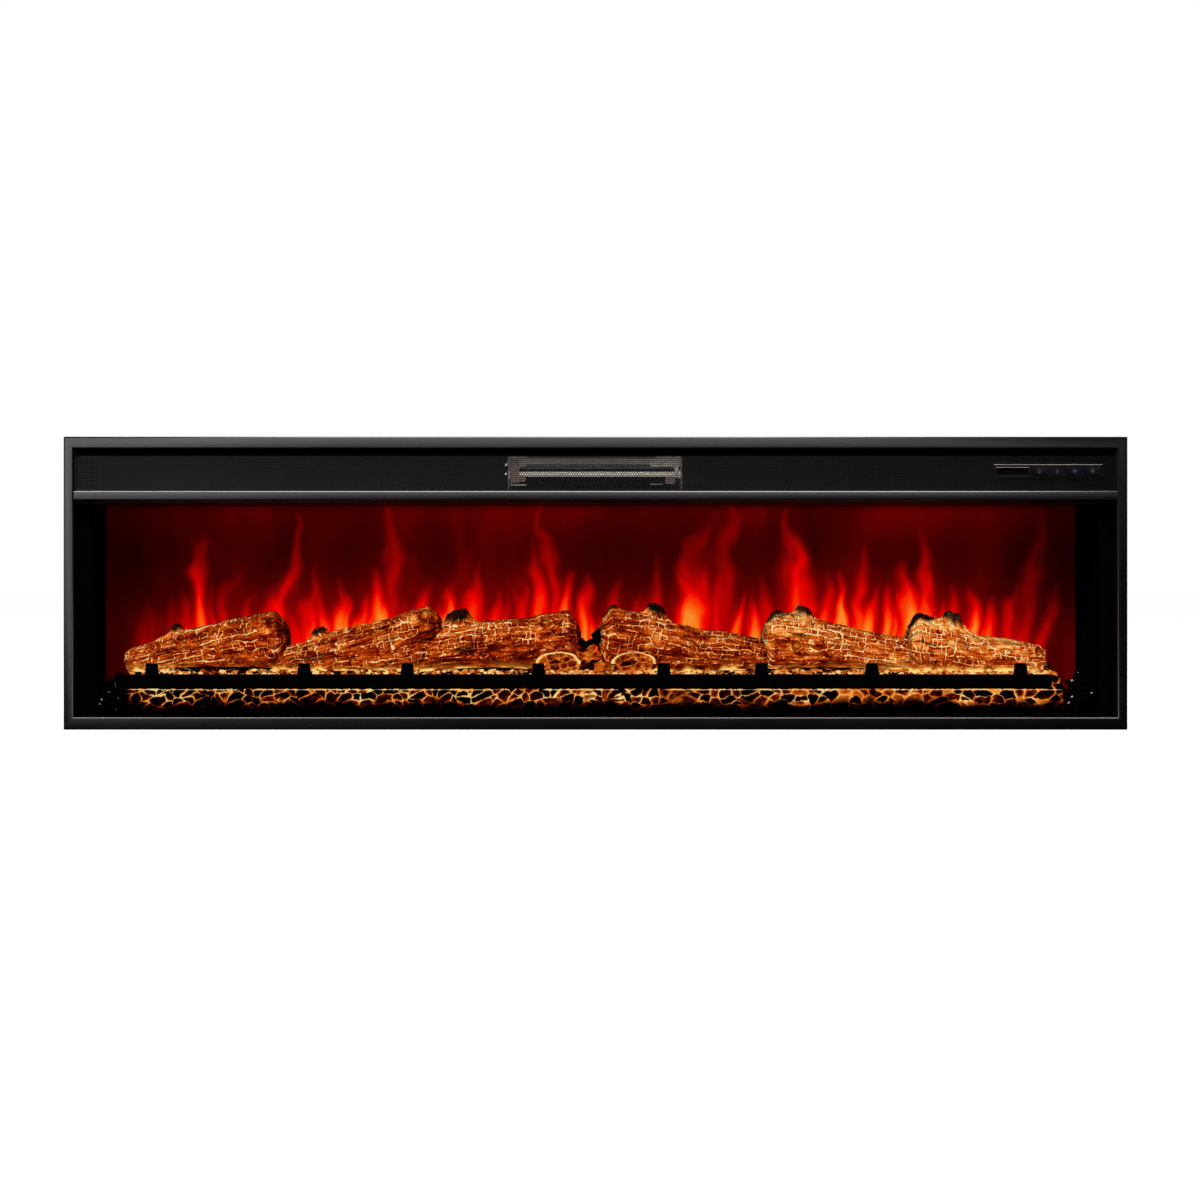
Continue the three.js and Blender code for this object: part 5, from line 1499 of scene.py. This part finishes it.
        pile = [(-28, 9, 8.5), (-15, 10, 9.5), (-3, 9, 9.0), (9, 10, 9.0), (20, 8, 7.5),
                (-22, 24, 9.5), (-8, 25, 10.0), (5, 26, 9.0), (-18, 36, 9.5), (-4, 38, 9.5)]
        count = len(pile)
        x, rise, size = np.array(pile).T * MM
        y, z = np.full(count, bar_high.y + 17 * MM) + rise * 0.3, shelf.z + 77 * MM + rise
        crack = rng.uniform(1.0, 3.5, count) * MM
        own = rng.uniform(0.35, 0.8, count)
        scatter_lumps(shell, np.stack([x, y, z], -1), size, 72, (1.0, 0.6, 0.9), crack=crack, own=own,
                      glow=np.full(count, 0.9))
        shell.piece("loose_embers", glowing_embers(), slot="ember_resin", smooth_faces=False)

    @staticmethod
    def charred_chunks():
        """Four black chunks that lie over the pile, between the middle logs."""
        behind_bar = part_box("grate_bar")[1].y + 32 * MM
        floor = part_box("ember_bed")[0].z
        x, rise = np.array([(-27, 123), (-14, 117), (-2, 120), (10, 129)]).T * MM
        count = len(x)
        places = np.stack([x, np.full(count, behind_bar), floor + rise], -1)
        shell = Shell()
        scatter_lumps(shell, places, np.full(count, 12 * MM), 74, (1.1, 0.8, 0.9), glint=np.zeros(count))
        shell.piece("charred_chunks", coal_gloss(), slot="coal", smooth_faces=False)

    @staticmethod
    def coal_heaps(rng):
        """Crushed black coals, heaped at both ends of the bed. The heaps rise towards the back and fall off
        towards the fireplace's left."""
        count, glinting = 420, 0.22
        for side in ("left", "right"):
            low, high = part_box(f"coal_heap_{side}")
            share = rng.uniform(0, 1, (count, 3))
            along = share[:, 0]
            top = np.clip(along * 1.3, 0, 1) if side == "right" else 1 - (1 - along) * 0.4
            size = rng.uniform(2.0, 5.5, count) * MM
            x = low.x + size + along * (high.x - low.x - 2 * size)
            y = low.y + size + share[:, 1] * (high.y - low.y - 2 * size)
            slope = 0.42 + 0.58 * np.sqrt(share[:, 1])
            z = low.z + size + share[:, 2] ** 0.6 * (high.z - low.z - 2 * size) * slope * (0.42 + 0.58 * top)
            glint = 0.7 * (rng.uniform(0, 1, count) < glinting)
            shell = Shell()
            scatter_lumps(shell, np.stack([x, y, z], -1), size, 81 + (side == "left"), glint=glint)
            shell.piece(f"coals_{side}", coal_gloss(), slot="coal", replaces=[f"coal_heap_{side}"],
                        smooth_faces=False)

    @staticmethod
    def strewn_coals(rng):
        """Coals along the foot of the bed, with more of them near its ends."""
        tried, glinting = 900, 0.05
        low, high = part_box("ember_bed")
        x = rng.uniform(low.x, high.x, tried)
        spread = np.abs(x) / high.x
        x = x[rng.uniform(0, 1, tried) < 0.15 + 0.85 * spread**4]
        size = rng.uniform(1.4, 3.4, len(x)) * MM
        lift = rng.uniform(0, 1, len(x)) ** 1.6
        z = low.z + size + lift * (14 + 16 * smooth(0.86, 1.0, np.abs(x) / high.x)) * MM
        y = low.y - 0.6 * MM + np.interp(z - low.z, [0, 20.5 * MM, 46.5 * MM], [0, 1 * MM, 16 * MM])
        glint = 0.4 * (rng.uniform(0, 1, len(x)) < glinting)
        shell = Shell()
        scatter_lumps(shell, np.stack([x, y, z], -1), size, 83, (1, 0.7, 1), glint=glint)
        shell.piece("coals_strewn", coal_gloss(), slot="coal", smooth_faces=False)


class FIREPLACE_OT_grate(bpy.types.Operator):
    """Grate bar with softened edges"""

    bl_idname = "fireplace.grate"
    bl_label = "Grate Bar"

    def execute(self, context):
        rounded_copy("grate_bar", "grate_casting", grate_iron(), CASING, 1.1 * MM, segments=3)
        return {"FINISHED"}


# ---------------------------------------------------------------- heater
def turned_bar(shell, x, radius, y, z, around=20):
    """Rings of the given radii at the given places along X."""
    turn = np.linspace(0, 2 * np.pi, around, endpoint=False)
    rings = np.stack([
        np.broadcast_to(x[:, None], (len(x), around)),
        y + radius[:, None] * np.cos(turn),
        z + radius[:, None] * np.sin(turn),
    ], -1)
    shell.tube(rings)


class FIREPLACE_OT_heater(bpy.types.Operator):
    """Heating elements behind the grille: a finned upper bar and a bright lower bar"""

    bl_idname = "fireplace.heater"
    bl_label = "Heating Elements"

    def execute(self, context):
        low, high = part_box("heating_element_lower")
        y, z = (low.y + high.y) / 2, (low.z + high.z) / 2
        lower = Shell()
        x = np.linspace(low.x, high.x, 420)
        coil_pitch = 2.6 * MM
        coil = 0.35 * MM * np.sin((x - low.x) / coil_pitch * 2 * np.pi)
        collar = smooth(9 * MM, 7 * MM, x - low.x) + smooth(9 * MM, 7 * MM, high.x - x)
        turned_bar(lower, x, 3.4 * MM + coil * (1 - collar) + 1.9 * MM * collar, y, z)
        lower.piece("element_lower_coil", element_sheath(), slot="element_metal",
                    replaces=["heating_element_lower"], sharp=50)
        rounded_copy("heating_element_upper", "element_upper_bar", element_upper_metal(), CASING,
                     0.5 * MM)
        front = low.y - 6 * MM
        self.blocks("element_brackets", bracket_steel(), z, front + 1 * MM, front + 2 * MM, (
            (low.x, 1, 15, -13, 21), (low.x, 15, 24, -11, -3), (high.x, -22, -8, -15, -4)))
        self.blocks("terminal_blocks", ceramic_block(), z, front, front + 3 * MM, (
            (high.x, -44, -12, 10.5, 20.0), (high.x, -20, -3, 21.5, 26.5), (high.x, -44, -26, -15.5, -14.0),
            (low.x, 1, 25, -17, -15.5), (high.x, -9, -3, -4, 14)))
        self.screws(low.x - 4.4 * MM, front - 1 * MM, (z + 12.9 * MM, z))
        return {"FINISHED"}

    @staticmethod
    def blocks(name, finish, middle, front, back, places):
        """Plain blocks in front of the bars. Each place is the end of the bars that it is measured from,
        where it starts and stops from there, and how low and high it reaches from the lower bar, in
        millimetres."""
        shell = Shell()
        for end, start, stop, bottom, top in places:
            edges = (end + start * MM, end + stop * MM, middle + bottom * MM, middle + top * MM)
            shell.tube(upright_block(*edges, front, back))
        shell.piece(name, finish, slot="element_metal", smooth_faces=False)

    @staticmethod
    def screws(x, y, heights):
        """Domed screw heads that face the grille."""
        radius, dome, around = 1.6 * MM, 0.9 * MM, 16
        turn = np.linspace(0, 2 * np.pi, around, endpoint=False)
        rise = np.linspace(0, math.pi / 2, 6)[:, None]
        reach = radius * np.cos(rise * 0.98)  # stays just open at the top, for the closing point
        shell = Shell()
        for z in heights:
            rings = (x + reach * np.cos(turn), y - dome * np.sin(rise), z + reach * np.sin(turn))
            shell.tube(np.stack(np.broadcast_arrays(*rings), -1))
        shell.piece("outlet_screws", bright_screw(), slot="element_metal")


# ---------------------------------------------------------------- casing
class FIREPLACE_OT_screws(bpy.types.Operator):
    """Cover screws: domed heads with a cross recess"""

    bl_idname = "fireplace.screws"
    bl_label = "Cover Screws"

    def execute(self, context):
        for k in range(1, 5):
            node = f"cover_screw_{k}"
            low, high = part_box(node)
            self.screw(node, (low.x + high.x) / 2, (low.y + high.y) / 2, low.z, high.z)
        return {"FINISHED"}

    @staticmethod
    def screw(node, x, y, bottom, top):
        """A turned shape whose domed head is pushed down in a cross round its middle."""
        head, shank, recess = 3.5 * MM, 1.5 * MM, 0.9 * MM
        around = 48
        profile = [(0.05 * MM, bottom), (shank, bottom + 1 * MM), (shank, top - 1.9 * MM),
                   (head * 0.97, top - 1.9 * MM), (head, top - 1.3 * MM), (head * 0.93, top - 0.8 * MM),
                   (head * 0.8, top - 0.45 * MM)]
        dome = [(head * s, top - 0.6 * MM * s**2) for s in np.linspace(0.74, 0.02, 16)]
        radius, height = np.array([(r, h) for r, h in profile + dome]).T
        turn = np.linspace(0, 2 * np.pi, around, endpoint=False)
        px, py = np.outer(radius, np.cos(turn)), np.outer(radius, np.sin(turn))
        pz = np.broadcast_to(height[:, None], px.shape).copy()
        in_head = (np.arange(len(radius)) >= len(profile))[:, None]
        arm = np.minimum(np.abs(px), np.abs(py))
        cross = smooth(0.5 * MM, 0.3 * MM, arm) * smooth(2.2 * MM, 1.8 * MM, np.hypot(px, py))
        pz -= in_head * cross * recess
        shell = Shell()
        shell.tube(np.stack([x + px, y + py, pz], -1))
        shell.piece(f"{node}_head", zinc_plate(), slot="zinc", replaces=[node], sharp=50)


class FIREPLACE_OT_casing(bpy.types.Operator):
    """Casing parts and inner mechanics: a finish for each CAD part that keeps its shape"""

    bl_idname = "fireplace.casing"
    bl_label = "Casing and Mechanics"

    def execute(self, context):
        for side in ("left", "right"):
            node, name = f"mounting_bracket_{side}", f"bracket_plate_{side}"
            rounded_copy(node, name, zinc_plate(), CASING, 0.4 * MM)
        rounded_copy("cord_gland", "cord_gland_bush", gland_rubber(), CASING, 0.5 * MM)
        finishes = {
            "casing_black": casing_coat, "liner_black": liner_black, "reflector": polished_aluminium,
            "zinc": zinc_plate, "plastic_black": moulded_black, "circuit_board": circuit_board,
            "element_metal": element_sheath, "frame_black": frame_coat, "grille_mesh": mesh_paint,
            "window_glass": window_glass, "flame_screen": flame_glow, "log_resin": burning_bark,
            "ember_resin": glowing_embers, "coal": coal_gloss, "grate_black": grate_iron,
            "button_black": button_plastic, "display_black": display_gloss, "gland_rubber": gland_rubber,
        }
        slots = {part["node"]: part["material_slot"] for part in frame["record"]["subparts"]}
        for node, cad_object in frame["nodes"].items():
            chosen = led_board if node.startswith("led_strip") else finishes[slots[node]]
            if node == "fan_motor":
                chosen = casing_coat
            cad_object.data.materials.clear()
            cad_object.data.materials.append(chosen())
        return {"FINISHED"}


# ---------------------------------------------------------------- stage
class FIREPLACE_OT_stage(bpy.types.Operator):
    """Pale floor, soft studio lights, world and camera"""

    bl_idname = "fireplace.stage"
    bl_label = "Stage"

    def execute(self, context):
        scene = context.scene
        scene.view_settings.view_transform = "Standard"
        self.floor()
        self.world(scene)
        self.light("panel", (-0.35, -4.0, 1.98), (-0.35, 0.0, 1.65), (4.7, 2.4), 78)
        self.light("low_panel", (-2.4, -3.6, 0.55), (-1.3, 0.0, 0.45), (2.8, 1.25), 15)
        self.light("overhead", (-0.1, -0.75, 2.0), (0.0, 0.0, 0.2), (2.8, 1.5), 200)
        self.light("left", (-3.4, -0.6, 1.2), (0.0, 0.0, 0.2), (1.4, 1.4), 12)
        self.light("back", (1.2, 2.8, 2.2), (0.0, 0.0, 0.2), (2.4, 1.6), 55)
        self.camera(scene)
        return {"FINISHED"}

    @staticmethod
    def floor():
        """A wide flat sheet that only the camera sees, so that it doesn't light the fireplace from below."""
        mesh = bpy.data.meshes.new("floor")
        reach = 40.0
        mesh.from_pydata([(-reach, -reach, 0), (reach, -reach, 0), (reach, reach, 0), (-reach, reach, 0)], [],
                         [(0, 1, 2, 3)])
        floor = bpy.data.objects.new("floor", mesh)
        bpy.context.scene.collection.objects.link(floor)
        finish = Finish("floor_paper", Roughness=0.9, Specular_IOR_Level=0.0)
        fibre = finish.grain(3.0, 3.0)
        finish.set(Base_Color=finish.blend(fibre, (0.10, 0.10, 0.10), (0.12, 0.12, 0.12)),
                   Emission_Color=(1.0, 1.0, 1.0), Emission_Strength=0.99)
        mesh.materials.append(finish.material)
        floor.visible_diffuse = False
        floor.visible_glossy = False
        floor.visible_shadow = False
        floor.location.z = -0.2 * MM

    @staticmethod
    def world(scene):
        """White to the camera, and a dim pale room to everything else."""
        world = bpy.data.worlds.new("studio")
        scene.world = world
        world.use_nodes = True
        nodes, links = world.node_tree.nodes, world.node_tree.links
        nodes.clear()
        seen, room = nodes.new("ShaderNodeBackground"), nodes.new("ShaderNodeBackground")
        seen.inputs["Color"].default_value = (1, 1, 1, 1)
        room.inputs["Color"].default_value = (1, 0.98, 1, 1)
        room.inputs["Strength"].default_value = 0.012
        mix, output, path = (nodes.new(kind) for kind in ("ShaderNodeMixShader", "ShaderNodeOutputWorld",
                                                          "ShaderNodeLightPath"))
        links.new(path.outputs["Is Camera Ray"], mix.inputs[0])
        links.new(room.outputs[0], mix.inputs[1])
        links.new(seen.outputs[0], mix.inputs[2])
        links.new(mix.outputs[0], output.inputs["Surface"])

    @staticmethod
    def light(name, place, target, size, energy):
        """A soft oblong light that faces its target."""
        lamp = bpy.data.lights.new(name, "AREA")
        lamp.shape = "RECTANGLE"
        lamp.size, lamp.size_y = size
        lamp.energy = energy
        lamp.color = (1.0, 0.95, 0.97)
        holder = bpy.data.objects.new(name, lamp)
        holder.location = place
        aim = Vector(target) - Vector(place)
        holder.rotation_euler = aim.to_track_quat("-Z", "Y").to_euler()
        bpy.context.scene.collection.objects.link(holder)

    @staticmethod
    def camera(scene):
        """Level, at half the frame's height and a little left of its middle."""
        front = CAD_BOX[0][1]
        camera = bpy.data.cameras.new("camera")
        camera.lens, camera.sensor_width = 50.3, 36
        camera.shift_x, camera.shift_y = 0.091, -0.014
        camera.clip_end = 200
        holder = bpy.data.objects.new("camera", camera)
        holder.location = (-0.15, front - 2.4, 0.21)
        holder.rotation_euler = (math.radians(90), 0, 0)
        scene.collection.objects.link(holder)
        scene.camera = holder


# ---------------------------------------------------------------- settings, panel and registration
def distance(name, description, default):
    return bpy.props.FloatProperty(name=name, description=description, default=default, min=0.0,
                                   subtype="DISTANCE", unit="LENGTH", precision=4)


def colour(name, description, default):
    return bpy.props.FloatVectorProperty(name=name, description=description, default=default, size=3, min=0.0,
                                         max=1.0, subtype="COLOR")


class FireplaceSizes(bpy.types.PropertyGroup):
    """Sizes that a user would change, in metres."""

    frame_side: distance("Frame Side", "Width of the frame's face at each side", 14.5 * MM)
    frame_top: distance("Frame Top", "Height of the frame's face above the grille", 17.5 * MM)
    frame_bottom: distance("Frame Bottom", "Height of the frame's face below the window", 18.0 * MM)
    sheet: distance("Sheet", "Thickness of the folded front sheet", 1.2 * MM)
    bend: distance("Bend Radius", "Outer radius of the folds", 2.6 * MM)
    # painted shadow: the height of the black strip that stands for the frame's shade along the grille's top
    # edge
    seal: distance("Seal Height", "Height of the black seal along the grille's top edge", 9.5 * MM)
    hole_pitch: distance("Hole Pitch", "Distance between neighbouring holes of the grille", 3.5 * MM)
    hole_width: distance("Hole Width", "Width of each hole, corner to corner", 2.9 * MM)


class FireplaceColours(bpy.types.PropertyGroup):
    """Colours that a user would change."""

    frame: colour("Frame", "Powder coat of the front frame and rail", (0.0009, 0.0007, 0.0008))
    casing: colour("Casing", "Powder coat of the casing", (0.018, 0.018, 0.020))
    mesh: colour("Grille", "Paint of the perforated sheet", (0.0015, 0.0012, 0.0015))


OPERATORS = (
    FIREPLACE_OT_stage,
    FIREPLACE_OT_casing,
    FIREPLACE_OT_front,
    FIREPLACE_OT_grille,
    FIREPLACE_OT_glazing,
    FIREPLACE_OT_controls,
    FIREPLACE_OT_flames,
    FIREPLACE_OT_logs,
    FIREPLACE_OT_embers,
    FIREPLACE_OT_grate,
    FIREPLACE_OT_heater,
    FIREPLACE_OT_screws,
)


class FIREPLACE_PT_panel(bpy.types.Panel):
    """Lists the steps that build the fireplace"""

    bl_label = "Electric Fireplace"
    bl_idname = "FIREPLACE_PT_panel"
    bl_space_type = "VIEW_3D"
    bl_region_type = "UI"
    bl_category = "Fireplace"

    def draw(self, context):
        for group in (context.scene.fireplace_sizes, context.scene.fireplace_colours):
            for name in group.__annotations__:
                self.layout.prop(group, name)
        for operator in OPERATORS:
            self.layout.operator(operator.bl_idname)


CLASSES = (FireplaceSizes, FireplaceColours, *OPERATORS, FIREPLACE_PT_panel)


def register():
    for cls in CLASSES:
        bpy.utils.register_class(cls)
    bpy.types.Scene.fireplace_sizes = bpy.props.PointerProperty(type=FireplaceSizes)
    bpy.types.Scene.fireplace_colours = bpy.props.PointerProperty(type=FireplaceColours)


def unregister():
    del bpy.types.Scene.fireplace_sizes
    del bpy.types.Scene.fireplace_colours
    for cls in reversed(CLASSES):
        bpy.utils.unregister_class(cls)


def main():
    register()
    for operator in OPERATORS:
        group, name = operator.bl_idname.split(".")
        getattr(getattr(bpy.ops, group), name)()


if __name__ == "__main__":
    main()
